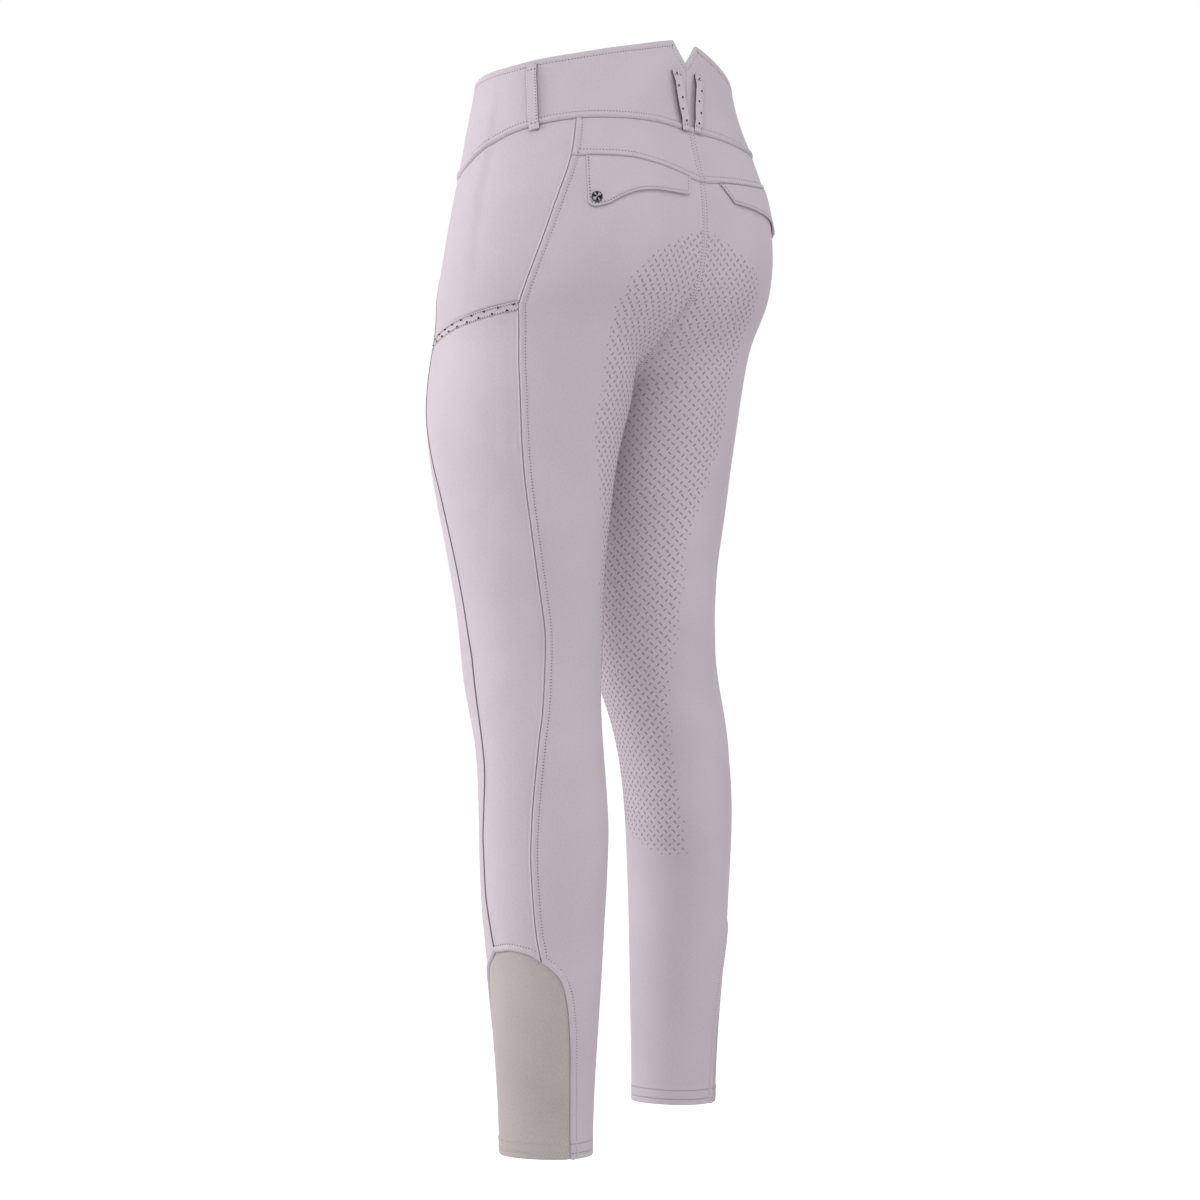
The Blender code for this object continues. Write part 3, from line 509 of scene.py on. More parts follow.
def seam_tree(name):
    points = SEAM_POINTS[name]
    tree = KDTree(len(points))
    for i, p in enumerate(points):
        tree.insert(p, i)
    tree.balance()
    return tree


SEAM_TREES = {name: seam_tree(name) for name in SEAMS}


def gap_to(points, name):
    """Distance from points to a seam line."""
    flat, line, tree = points.reshape(-1, 3), SEAM_POINTS[name], SEAM_TREES[name]
    found = [tree.find(p)[1:] for p in flat]
    index, best = np.array([f[0] for f in found]), np.array([f[1] for f in found])
    for shift in (-1, 0):
        a = np.clip(index + shift, 0, len(line) - 2)
        start, run = line[a], line[a + 1] - line[a]
        t = np.clip(((flat - start) * run).sum(-1) / np.maximum((run ** 2).sum(-1), 1e-16), 0, 1)
        best = np.minimum(best, np.linalg.norm(flat - start - run * t[:, None], axis=-1))
    return best.reshape(points.shape[:-1])


def bump(d, at, half):
    """One at a distance, falling off softly on both sides."""
    return np.exp(-((d - at) / half) ** 2)


ROLL_ROW, EDGE_ROW, HEM_ROWS = 0.0061, 0.0050, (0.0055, 0.0140)
PROFILES = {
    # allowance folded under this piece and held by a row of stitches: a padded roll
    "roll": lambda d: (0.00140 * ramp(d / 0.0020) * (1 - ramp((d - 0.0034) / 0.0026))
                       - 0.00045 * (1 - ramp(d / 0.0010)) - 0.00028 * bump(d, ROLL_ROW, 0.0008)),
    # piece that goes under its neighbour's roll
    "tuck": lambda d: -0.00075 * (1 - ramp(d / 0.0042)),
    # sharp folded edge that catches the light
    "fold": lambda d: (0.00075 * (1 - ramp((d - 0.0006) / 0.0012))
                       - 0.0003 * bump(d, 0.0026, 0.001)),
    "edge": lambda d: (0.0004 * (1 - ramp((d - 0.0040) / 0.0014)) - 0.0006 * (1 - ramp(d / 0.0011))
                       - 0.00028 * bump(d, EDGE_ROW, 0.0008)),
    "hem": lambda d: (0.00035 * (1 - ramp((d - 0.0150) / 0.0014)) - 0.0004 * (1 - ramp(d / 0.0010))
                      - sum(0.00025 * bump(d, row, 0.0009) for row in HEM_ROWS)),
    "felled": lambda d: (0.00035 * (1 - ramp((d - 0.0030) / 0.0014)) - 0.0005 * bump(d, 0, 0.0007)
                         - 0.0002 * bump(d, 0.0026, 0.0006)),
    "plain": lambda d: -0.0004 * (1 - ramp(d / 0.0022)),
    "cord": lambda d: (0.0003 * (1 - ramp((d - 0.0035) / 0.0020)) - 0.0003 * bump(d, 0, 0.0009)),
}
SEWN = {
    "waistband": {"edge": ("top",), "roll": ("band",), "plain": ("centre_back", "centre_front")},
    "yoke": {"tuck": ("band",), "roll": ("yoke", "side"), "felled": ("centre_back",)},
    "back": {"tuck": ("yoke",), "roll": ("side", "side_low"), "felled": ("centre_back",),
             "plain": ("inner",), "hem": ("hem",)},
    "front": {"tuck": ("band",), "cord": ("front",), "roll": ("front_low",),
              "plain": ("centre_front", "inner"), "hem": ("hem",)},
    "side_upper": {"tuck": ("band",), "fold": ("side",), "cord": ("front",),
                   "plain": ("mouth_top",)},
    "side_lower": {"fold": ("side",), "cord": ("front",), "roll": ("arch",),
                   "plain": ("mouth_foot",)},
    "pocket_mouth": {"fold": ("mouth_top",), "plain": ("mouth_foot", "side", "front")},
    "sock": {"tuck": ("arch", "front_low", "side_low"), "hem": ("hem",)}, "pocket_bag": {},
}
FACE = {"waistband": 0.0004, "pocket_mouth": 0.0005, "sock": -0.0001, "pocket_bag": -0.0026}
WALL = {"waistband": 0.0024, "pocket_mouth": 0.0018, "sock": 0.0010, "pocket_bag": 0.0009}
CLOTH = 0.0013
STITCH_LIFT = 0.00010


def crease(points, side):
    """Soft troughs with a low bank on each side."""
    flat = points.reshape(-1, 3)
    total = np.zeros(len(flat))
    for turn0, z0, turn1, z1, half, depth in CREASES[side]:
        t = np.linspace(0, 1, 9)
        path = on_cloth(turn0 + (turn1 - turn0) * t, z0 + (z1 - z0) * t)
        near = np.linalg.norm(flat - path[4], axis=-1) < 0.14
        best, where = np.full(near.sum(), 9.0), np.zeros(near.sum())
        for i in range(8):
            run = path[i + 1] - path[i]
            u = np.clip(((flat[near] - path[i]) @ run) / (run @ run), 0, 1)
            d = np.linalg.norm(flat[near] - path[i] - run * u[:, None], axis=-1)
            where = np.where(d < best, (i + u) / 8, where)
            best = np.minimum(best, d)
        fade = np.sin(np.pi * np.clip(where, 0.001, 0.999)) ** 0.8
        total[near] += depth * fade * (0.5 * bump(best, 2.0 * half, 0.9 * half)
                                       - bump(best, 0, half))
    return total.reshape(points.shape[:-1])


def pocket_ridge(points):
    """The phone pocket's bag shows as a low step through the side panel."""
    turn, z = place_of(points)
    inside = (ramp((turn - FRONT_AT(z) - BAG_FRONT) / 5)
              * ramp((SIDE_AT(z) - BAG_SIDE - turn) / 5))
    return 0.00055 * inside * ramp((z - BAG_FOOT + 0.003) / 0.006)


def seat_form(points):
    """Cleft below the seat, and the fullness of the thigh beside it."""
    turn, z = place_of(points)
    turn = np.where(turn < front_end(z) - 1e-6, turn + 360, turn)
    low = ramp((CLEFT_TOP - z) / 0.03) * ramp((z - CLEFT_FOOT) / 0.04)
    across = np.radians(turn - FULL_TURN) * THIGH_RADIUS
    return (-CLEFT_DEPTH * low * bump(gap_to(points, "centre_back"), 0, CLEFT_HALF)
            + FULL_RISE * np.exp(-(across / FULL_WIDE) ** 2
                                 - ((z - FULL_LEVEL) / FULL_TALL) ** 2))


def relief(points, piece, side):
    """Height of a piece's face over the plain form."""
    total = crease(points, side) + FACE.get(piece, 0.0)
    if piece == "back":
        total = total + seat_form(points)
    for profile, names in SEWN[piece].items():
        gap = np.min([gap_to(points, own_name(name, side)) for name in names], axis=0)
        total = total + PROFILES[profile](gap)
    if piece == "side_lower":
        total = total + pocket_ridge(points)
    return total


# ---------------------------------------------------------------- shells
NEAR_SEAM = (0, 0.0004, 0.0009, 0.0015, 0.0022, 0.0030, 0.0038, 0.0045, 0.0052, 0.0059, 0.0066,
             0.0075, 0.0090, 0.0115)
NEAR_HEM = (0, 0.0004, 0.0009, 0.0015, 0.0025, 0.0038, 0.0048, 0.0055, 0.0063, 0.0080, 0.0105,
            0.0125, 0.0133, 0.0140, 0.0148, 0.0156, 0.0170, 0.0200)
NEAR_NOTCH = NEAR_SEAM[:-2] + (0.0084, 0.0093, 0.0097, 0.0100, 0.0103, 0.0109, 0.0125)
NEAR_CROTCH = (0, 0.0003, 0.0009, 0.0018, 0.0032, 0.0052, 0.0080, 0.0115, 0.0160)
PLAIN = (0,)


def spread(length, start, end, count):
    """Shares of a stretch: close together at its sewn ends, even between them."""
    length = np.asarray(length, float)
    first = np.array(start)[:, None] * np.minimum(1, 0.42 * length / max(start[-1], 1e-9))
    last = np.array(end)[:, None] * np.minimum(1, 0.42 * length / max(end[-1], 1e-9))
    first, last = first / length, 1 - last[::-1] / length
    t = np.linspace(0, 1, count + 2)[1:-1, None]
    return np.concatenate([first, first[-1] + (last[0] - first[-1]) * t, last])


def panel_grid(left, right, cuts, ends=(NEAR_SEAM, NEAR_SEAM), step=0.0055):
    """Turn and level of a fine grid between two upright seams. cuts runs from the top seam to the
    bottom one, each a function or a level with the spacing that rows have beside it."""
    def across(z, s):
        return left(z) + (right(z) - left(z)) * s

    levels = [c if callable(c) else (lambda turn, z, c=c: c + 0 * turn) for c, _ in cuts]
    ladder = np.linspace(-0.96, 0.08, 150)
    t = np.linspace(0, 1, 14)[None, :]
    turn = left(ladder)[:, None] + (right(ladder) - left(ladder))[:, None] * t
    rows = on_cloth(turn, ladder[:, None])
    wide = np.linalg.norm(np.diff(rows, axis=1), axis=-1).sum(1)
    tall = []
    for high, low in zip(levels, levels[1:]):
        z = 0 * t - 0.1
        for _ in range(6):
            turn = across(z, t)
            z = 0.5 * (high(turn, z) + low(turn, z))
        turn = across(z, t)
        tall.append(float(np.max(high(turn, z) - low(turn, z))))
    z_low, z_high = z.min() - tall[-1] / 2, z.min() - tall[-1] / 2 + sum(tall)
    seen = (ladder > z_low) & (ladder < z_high)
    columns = max(2, round(float(wide[seen].max() if seen.any() else wide.max()) / step))
    counts = [max(1, round(h / step)) for h in tall]
    spans = [len(cuts[k][1]) + counts[k] + len(cuts[k + 1][1]) for k in range(len(tall))]
    total = sum(spans) - (len(spans) - 1)
    n = len(ends[0]) + columns + len(ends[1])
    z = np.linspace(z_high, z_low, total)[:, None] + np.zeros((1, n))
    for _ in range(14):
        width = np.interp(z.mean(1), ladder, wide)
        s = spread(width, *ends, columns).T
        turn = across(z, s)
        edges = [level(turn, z) for level in levels]
        new, row = z.copy(), 0
        for k, span in enumerate(spans):
            block = slice(row, row + span)
            high, low = edges[k][block], edges[k + 1][block]
            length = np.maximum(np.median(high - low, axis=0), 1e-5)
            share_down = spread(length, cuts[k][1], cuts[k + 1][1], counts[k])
            new[block] = high + (low - high) * share_down
            row += span - 1
        z = new
    return across(z, s), z


def trim(points, gaps):
    """Draw the four edges of a grid back along the cloth: left, right, top, bottom."""
    shift, rows = np.zeros_like(points), slice(None)
    edges = ((rows, 0), (rows, -1), (0,), (-1,))
    inner = ((rows, 1), (rows, -2), (1,), (-2,))
    for edge, near, gap in zip(edges, inner, gaps):
        step = points[near] - points[edge]
        length = np.linalg.norm(step, axis=-1, keepdims=True)
        shift[edge] += np.minimum(gap, 0.7 * length) * unit(step)
    return points + shift


def close_grids(face, back):
    """Vertices, quads and rim of the closed body between two grids of the same shape."""
    m, n = face.shape[:2]
    verts = np.concatenate([face.reshape(-1, 3), back.reshape(-1, 3)])
    at = np.arange(m * n).reshape(m, n)
    a, b, c, d = (at[:-1, :-1].ravel(), at[1:, :-1].ravel(), at[1:, 1:].ravel(),
                  at[:-1, 1:].ravel())
    front = np.stack([a, b, c, d], 1)
    behind = np.stack([a, d, c, b], 1) + m * n
    rim = np.concatenate([at[0, :], at[1:, -1], at[-1, -2::-1], at[-2:0:-1, 0]])
    after = np.roll(rim, -1)
    around = np.stack([rim, after, after + m * n, rim + m * n], 1)
    return verts, np.concatenate([front, behind, around]), len(front)


def flat_cut(points, stretch=1.04):
    """Largest width, largest length and area of a grid laid flat, before it is worn."""
    across = np.linalg.norm(np.diff(points, axis=1), axis=-1).sum(1)
    down = np.linalg.norm(np.diff(points, axis=0), axis=-1).sum(0)
    a, b = np.diff(points, axis=0)[:, :-1], np.diff(points, axis=1)[:-1]
    area = np.linalg.norm(np.cross(a, b), axis=-1).sum()
    wide, long = float(across.max()) / stretch, float(down.max()) / stretch
    area = float(area) / stretch ** 2
    return wide, long, min(area, wide * long)


def write_uv(mesh, place):
    """Give the mesh the cut's UV map, from a place for each vertex."""
    layer = mesh.uv_layers.new(name="cut")
    index = np.empty(len(mesh.loops), np.int32)
    mesh.loops.foreach_get("vertex_index", index)
    layer.data.foreach_set("uv", place[index].astype(np.float32).ravel())


def lay_uv(mesh, points, side):
    """UV in metres: across the piece from its middle column, and down it."""
    across = lengths(points, 1)
    across -= across[:, points.shape[1] // 2][:, None]
    place = np.stack([side * across, -lengths(points)], -1).reshape(-1, 2)
    write_uv(mesh, np.concatenate([place, place]))


def placed(name, data):
    """New object of the scene."""
    obj = bpy.data.objects.new(name, data)
    bpy.context.scene.collection.objects.link(obj)
    return obj


def turn_outward(mesh):
    """Turn all faces of a closed mesh outward."""
    turned = bmesh.new()
    turned.from_mesh(mesh)
    bmesh.ops.recalc_face_normals(turned, faces=turned.faces)
    turned.to_mesh(mesh)
    turned.free()


def new_piece(name, verts, quads, side, materials, inner_from, inner_to):
    """Mesh object, mirrored for the right side, with its inner faces on the second material."""
    verts = verts * mirror(side)
    if side < 0:
        quads = quads[:, ::-1]
    mesh = bpy.data.meshes.new(name)
    mesh.from_pydata(verts.tolist(), [], quads.tolist())
    for mat in materials:
        mesh.materials.append(mat)
    index = np.zeros(len(mesh.polygons), np.int32)
    index[inner_from:inner_to] = 1
    mesh.polygons.foreach_set("material_index", index)
    mesh.polygons.foreach_set("use_smooth", [True] * len(mesh.polygons))
    return placed(name, mesh)


def shell(piece, side, turn, z, gaps, materials):
    """Closed thin shell of one cut piece."""
    base = trim(on_cloth(turn, z), gaps)
    base[..., 0] = np.maximum(base[..., 0], HALF_SEAM)
    n, height = outward(base), relief(base, piece, side)
    face = base + n * height[..., None]
    under = FACE.get(piece, 0.0) - WALL.get(piece, CLOTH) + np.minimum(
        height - FACE.get(piece, 0.0), 0)
    back = base + n * under[..., None]
    for grid in (face, back):
        grid[..., 0] = np.maximum(grid[..., 0], HALF_SEAM)
    verts, quads, count = close_grids(face, back)
    if winding(face) < 0:
        quads = quads[:, ::-1]
    obj = new_piece(f"{piece}_{side_name(side)}_cloth", verts, quads, side, materials, count,
                    2 * count)
    lay_uv(obj.data, face, side)
    finish_cloth(obj, [f"{piece}_{side_name(side)}"], flat_cut(face))
    return obj


def winding(grid):
    """Above zero when a grid's rows and columns turn so that its faces point outward."""
    m, n = grid.shape[0] // 2, grid.shape[1] // 2
    a, b = grid[m + 1, n] - grid[m, n], grid[m, n + 1] - grid[m, n]
    return float(np.cross(a, b) @ outward(grid[m, n]))


def finish_cloth(obj, nodes, cut):
    """Fasten a sheet to the body, in the place of its nodes, and hide the nodes."""
    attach(obj, "root")
    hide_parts(*nodes)
    wide, long, area = cut
    long = max(long, 0.010)  # the narrow pocket band is cut with its turnings


# ---------------------------------------------------------------- materials
def linear(code):
    """sRGB hex colour as a linear RGBA one."""
    parts = [int(code[i:i + 2], 16) / 255 for i in (0, 2, 4)]
    return (*[c / 12.92 if c <= 0.04045 else ((c + 0.055) / 1.055) ** 2.4 for c in parts], 1.0)


def add_node(tree, kind, values=None, links=None, **settings):
    node = tree.nodes.new(kind)
    for key, value in settings.items():
        setattr(node, key, value)
    for key, value in (values or {}).items():
        node.inputs[key].default_value = value
    for key, source in (links or {}).items():
        tree.links.new(source, node.inputs[key])
    return node


def start_material(name, values):
    """A new material with the shader's own values, or the one that is there already."""
    mat = bpy.data.materials.get(name)
    if mat:
        return mat, None, None
    mat = bpy.data.materials.new(name)
    mat.use_nodes = True
    tree = mat.node_tree
    skin = tree.nodes["Principled BSDF"]
    for key, value in values.items():
        skin.inputs[key].default_value = value
    return mat, tree, skin


def knit_cloth(name, code, dark_code, wale, course, depth, values):
    """Knitted cloth on the piece's own UV in metres. wale and course are the loops' spacing."""
    mat, tree, skin = start_material(name, values)
    if tree is None:
        return mat
    uv = add_node(tree, "ShaderNodeUVMap", uv_map="cut").outputs["UV"]
    # dye and pressing vary slowly, over some 90 mm; yarn varies over 2 mm
    cloud = add_node(tree, "ShaderNodeTexNoise", {"Scale": 1 / 0.09, "Detail": 2.0},
                     {"Vector": uv})
    grain = add_node(tree, "ShaderNodeTexNoise", {"Scale": 1 / 0.002, "Detail": 2.0},
                     {"Vector": uv})
    both = add_node(tree, "ShaderNodeMath",
                    links={0: cloud.outputs["Fac"], 1: grain.outputs["Fac"]}, operation="ADD")
    shade = add_node(tree, "ShaderNodeMapRange", {"From Min": 0.75, "From Max": 1.25},
                     {"Value": both.outputs["Value"]})
    tint = add_node(tree, "ShaderNodeMix", {6: linear(dark_code), 7: linear(code)},
                    {"Factor": shade.outputs["Result"]}, data_type="RGBA")
    tree.links.new(tint.outputs[2], skin.inputs["Base Color"])
    # 0.314 is a wave texture's period at scale 1
    ribs = add_node(tree, "ShaderNodeTexWave", {"Scale": 0.314 / wale, "Distortion": 0.6,
                                                "Detail": 1.0, "Detail Scale": 2.0},
                    {"Vector": uv}, bands_direction="X")
    rows = add_node(tree, "ShaderNodeTexWave", {"Scale": 0.314 / course, "Distortion": 0.5,
                                                "Detail": 1.0, "Detail Scale": 2.0},
                    {"Vector": uv}, bands_direction="Y")
    loops = add_node(tree, "ShaderNodeMath",
                     links={0: ribs.outputs["Fac"], 1: rows.outputs["Fac"]}, operation="MULTIPLY")
    rise = add_node(tree, "ShaderNodeBump", {"Strength": 0.5, "Distance": depth},
                    {"Height": loops.outputs["Value"]})
    fuzz = add_node(tree, "ShaderNodeBump", {"Strength": 0.35, "Distance": 0.00012},
                    {"Height": grain.outputs["Fac"], "Normal": rise.outputs["Normal"]})
    tree.links.new(fuzz.outputs["Normal"], skin.inputs["Normal"])
    return mat


def plain_finish(name, code, dark_code, spacing, depth, values):
    """Finish with a fine grain on Object coordinates, spacing in metres."""
    mat, tree, skin = start_material(name, values)
    if tree is None:
        return mat
    place = add_node(tree, "ShaderNodeTexCoord")
    grain = add_node(tree, "ShaderNodeTexNoise", {"Scale": 1 / spacing, "Detail": 2.0},
                     {"Vector": place.outputs["Object"]})
    tint = add_node(tree, "ShaderNodeMix", {6: linear(dark_code), 7: linear(code)},
                    {"Factor": grain.outputs["Fac"]}, data_type="RGBA")
    rise = add_node(tree, "ShaderNodeBump", {"Strength": 0.5, "Distance": depth},
                    {"Height": grain.outputs["Fac"]})
    tree.links.new(tint.outputs[2], skin.inputs["Base Color"])
    tree.links.new(rise.outputs["Normal"], skin.inputs["Normal"])
    return mat


def softshell():
    """Warp-knitted polyamide softshell: smooth face, faint sheen at a low angle."""
    return knit_cloth("warp_knit_softshell", "c9bfc7", "c1b6bf", 0.0011, 0.0014, 0.00006,
                      {"Roughness": 0.62, "IOR": 1.45, "Specular IOR Level": 0.35,
                       "Sheen Weight": 0.30, "Sheen Roughness": 0.45,
                       "Sheen Tint": linear("f2eef2")})


def brushed_inside():
    """The softshell's brushed wrong side."""
    return knit_cloth("brushed_wrong_side", "c6bdc2", "b9afb6", 0.0020, 0.0020, 0.0001,
                      {"Roughness": 0.85, "Sheen Weight": 0.2, "Sheen Roughness": 0.6})


def sock_knit():
    """Thin elastane jersey: matt, fine upright wales."""
    return knit_cloth("elastane_jersey", "b9b0af", "aea5a5", 0.0012, 0.0022, 0.00008,
                      {"Roughness": 0.72, "Specular IOR Level": 0.3, "Sheen Weight": 0.25,
                       "Sheen Roughness": 0.5, "Sheen Tint": linear("eee9ea")})


def lining():
    """Plain-woven polyester of the pocket bags, matt."""
    return plain_finish("polyester_lining", "b5abb1", "a69ca3", 0.0016, 0.0001, {"Roughness": 0.8})


def thread():
    """Polyester thread, a shade lighter than the cloth."""
    return plain_finish("spun_polyester_thread", "e0d9dd", "d0c8cd", 0.0008, 0.00004,
                        {"Roughness": 0.55, "Sheen Weight": 0.2})


def painted_hole_shade():
    """Painted shade: a dark disc for the shade in the needle hole between two stitches."""
    return plain_finish("painted_stitch_hole_shade", "61545b", "554950", 0.0010, 0.00002,
                        {"Roughness": 0.9, "Specular IOR Level": 0.1})


def silicone():
    """Printed silicone: greyer than the cloth, a soft gloss."""
    return plain_finish("printed_silicone", "9c9197", "93888e", 0.0015, 0.00002,
                        {"Roughness": 0.42, "IOR": 1.41, "Specular IOR Level": 0.4})


def satin_cord():
    """Dark satin-covered piping."""
    return plain_finish("satin_piping", "6a5c62", "574a50", 0.0009, 0.00008,
                        {"Roughness": 0.45, "Sheen Weight": 0.3})


def painted_slot_shade():
    """Painted shade: a dark finish on the edges and the underside of the belt loops, for the shade
    in the narrow slot under each loop.
    """
    return plain_finish("painted_slot_shade_finish", "5a4a49", "4c3e3e", 0.0012, 0.00004,
                        {"Roughness": 0.7, "Specular IOR Level": 0.2})


def painted_highlight_facet():
    """Painted highlight: a bright mirror finish on chosen facets of the stone, for the lights'
    reflections in it.
    """
    return plain_finish("painted_highlight_facet", "f1f1f4", "e4e4ea", 0.0030, 0.0,
                        {"Roughness": 0.12, "Metallic": 1.0})


def dark_crystal():
    """Foiled glass, cut in facets: dark and mirror-like."""
    return plain_finish("foiled_crystal", "4a474f", "333137", 0.0030, 0.0,
                        {"Roughness": 0.10, "Metallic": 1.0})


def dark_nickel():
    """Black nickel plating on the studs' settings."""
    return plain_finish("black_nickel", "575157", "4a454b", 0.0010, 0.00001,
                        {"Roughness": 0.22, "Metallic": 1.0})


# ---------------------------------------------------------------- settings
def metres(name, description, default, **limits):
    """A size in metres that a user may change."""
    return bpy.props.FloatProperty(name=name, description=description, default=default,
                                   unit="LENGTH", **limits)


class BreechesClothSettings(bpy.types.PropertyGroup):
    mesh_step: metres("Mesh step", "Spacing of the shells' grid away from the seams", 0.0055,
                      min=0.003, max=0.02)
    loop_width: metres("Belt loop width", "Width of a belt loop", 0.0100)
    loop_thickness: metres("Belt loop thickness", "Thickness of a belt loop", 0.0014)
    piping_width: metres("Piping width", "Width of the piping that shows", 0.0022)


class BreechesSewingSettings(bpy.types.PropertyGroup):
    pitch: metres("Stitch pitch", "Distance from one stitch to the next", 0.0028)
    length: metres("Stitch length", "Visible length of one stitch", 0.0020)
    thickness: metres("Thread thickness", "Thickness of the thread", 0.00062)
    # the needle hole is drawn as a dark disc of painted shade
    hole: metres("Needle hole", "Width of the puncture between two stitches", 0.00135)


class BreechesGripSettings(bpy.types.PropertyGroup):
    row_gap: metres("Row spacing", "Distance between the rows of the grip print", 0.0043)
    gap: metres("Dash spacing", "Distance between the dashes of a row", 0.0086)
    length: metres("Dash length", "Length of a printed dash", 0.0041)
    width: metres("Dash width", "Width of a printed dash", 0.0015)
    height: metres("Dash height", "How far a dash stands off the cloth", 0.00028)


class BreechesTrimSettings(bpy.types.PropertyGroup):
    crystal: metres("Crystal width", "Width of a small crystal", 0.0022)
    stud: metres("Stud width", "Width of a flap stud", 0.0096)
    floor: metres("Floor gap", "Space between the hems and the floor", 0.075)


# ---------------------------------------------------------------- node trees
def new_tree(name, inputs):
    """Geometry node tree with named inputs and one geometry output."""
    tree = bpy.data.node_groups.new(name, "GeometryNodeTree")
    tree.interface.new_socket("Geometry", in_out="INPUT", socket_type="NodeSocketGeometry")
    for label, kind, value in inputs:
        socket = tree.interface.new_socket(label, in_out="INPUT", socket_type=kind)
        if value is not None:
            socket.default_value = value
    tree.interface.new_socket("Geometry", in_out="OUTPUT", socket_type="NodeSocketGeometry")
    return tree, tree.nodes.new("NodeGroupInput"), tree.nodes.new("NodeGroupOutput")


def facing(tree, along, out):
    """Rotation with X along one vector and Z as near another as can be."""
    first = add_node(tree, "FunctionNodeAlignRotationToVector", links={"Vector": along}, axis="X")
    return add_node(tree, "FunctionNodeAlignRotationToVector",
                    links={"Rotation": first.outputs["Rotation"], "Vector": out},
                    axis="Z", pivot_axis="X").outputs["Rotation"]


def stitch_tree():
    """Rows of stitches with a dark disc of painted shade for the needle hole between each two,
    along the edges of a mesh.
    """
    tree, given, result = new_tree("stitch_rows", (
        ("Pitch", "NodeSocketFloat", 0.0028), ("Length", "NodeSocketFloat", 0.0020),
        ("Thickness", "NodeSocketFloat", 0.0005), ("Hole", "NodeSocketFloat", 0.0008),
        ("Thread", "NodeSocketMaterial", None), ("Hole Shade", "NodeSocketMaterial", None)))
    path = add_node(tree, "GeometryNodeMeshToCurve", links={"Mesh": given.outputs["Geometry"]})
    half = add_node(tree, "ShaderNodeMath", {1: 0.5}, {0: given.outputs["Pitch"]},
                    operation="MULTIPLY")
    even = add_node(tree, "GeometryNodeResampleCurve", links={"Curve": path.outputs["Curve"],
                                                             "Length": half.outputs["Value"]},
                    mode="LENGTH")
    out = add_node(tree, "GeometryNodeInputNamedAttribute", {"Name": "out"},
                   data_type="FLOAT_VECTOR")
    along = add_node(tree, "GeometryNodeInputTangent")
    turn = facing(tree, along.outputs["Tangent"], out.outputs["Attribute"])
    index = add_node(tree, "GeometryNodeInputIndex")
    odd = add_node(tree, "ShaderNodeMath", {1: 2.0}, {0: index.outputs["Index"]},
                   operation="MODULO")
    first = add_node(tree, "FunctionNodeCompare", {"B": 0.5}, {"A": odd.outputs["Value"]},
                     operation="LESS_THAN", data_type="FLOAT")
    second = add_node(tree, "FunctionNodeBooleanMath", links={0: first.outputs["Result"]},
                      operation="NOT")
    bead = add_node(tree, "GeometryNodeMeshUVSphere", {"Segments": 6, "Rings": 4, "Radius": 0.5})
    size = add_node(tree, "ShaderNodeCombineXYZ", links={
        "X": given.outputs["Length"], "Y": given.outputs["Thickness"],
        "Z": given.outputs["Thickness"]})
    stitches = add_node(tree, "GeometryNodeInstanceOnPoints", links={
        "Points": even.outputs["Curve"], "Selection": first.outputs["Result"],
        "Instance": bead.outputs["Mesh"], "Rotation": turn, "Scale": size.outputs["Vector"]})
    sewn = add_node(tree, "GeometryNodeRealizeInstances",
                    links={"Geometry": stitches.outputs["Instances"]})
    sewn = add_node(tree, "GeometryNodeSetMaterial", links={
        "Geometry": sewn.outputs["Geometry"], "Material": given.outputs["Thread"]})
    # painted shade: a flat dark disc on the cloth for the shade in each needle hole
    disc = add_node(tree, "GeometryNodeMeshCircle", {"Vertices": 6, "Radius": 0.5},
                    fill_type="NGON")
    holes = add_node(tree, "GeometryNodeInstanceOnPoints", links={
        "Points": even.outputs["Curve"], "Selection": second.outputs["Boolean"],
        "Instance": disc.outputs["Mesh"], "Rotation": turn, "Scale": given.outputs["Hole"]})
    dark = add_node(tree, "GeometryNodeRealizeInstances",
                    links={"Geometry": holes.outputs["Instances"]})
    dark = add_node(tree, "GeometryNodeSetMaterial", links={
        "Geometry": dark.outputs["Geometry"], "Material": given.outputs["Hole Shade"]})
    join = add_node(tree, "GeometryNodeJoinGeometry")
    tree.links.new(sewn.outputs["Geometry"], join.inputs["Geometry"])
    tree.links.new(dark.outputs["Geometry"], join.inputs["Geometry"])
    tree.links.new(join.outputs["Geometry"], result.inputs["Geometry"])
    return tree


def scatter_tree(name, shape, inputs):
    """One shape on every point, turned by the attributes along and out, sized by size."""
    tree, given, result = new_tree(name, inputs + (("Finish", "NodeSocketMaterial", None),))
    made = shape(tree, given)
    names = [add_node(tree, "GeometryNodeInputNamedAttribute", {"Name": label},
                      data_type=kind).outputs["Attribute"]
             for label, kind in (("along", "FLOAT_VECTOR"), ("out", "FLOAT_VECTOR"),
                                 ("size", "FLOAT"))]
    turn = facing(tree, names[0], names[1])
    set_down = add_node(tree, "GeometryNodeInstanceOnPoints", links={
        "Points": given.outputs["Geometry"], "Instance": made, "Rotation": turn,
        "Scale": names[2]})
    real = add_node(tree, "GeometryNodeRealizeInstances",
                    links={"Geometry": set_down.outputs["Instances"]})
    coat = add_node(tree, "GeometryNodeSetMaterial", links={
        "Geometry": real.outputs["Geometry"], "Material": given.outputs["Finish"]})
    tree.links.new(coat.outputs["Geometry"], result.inputs["Geometry"])
    return tree


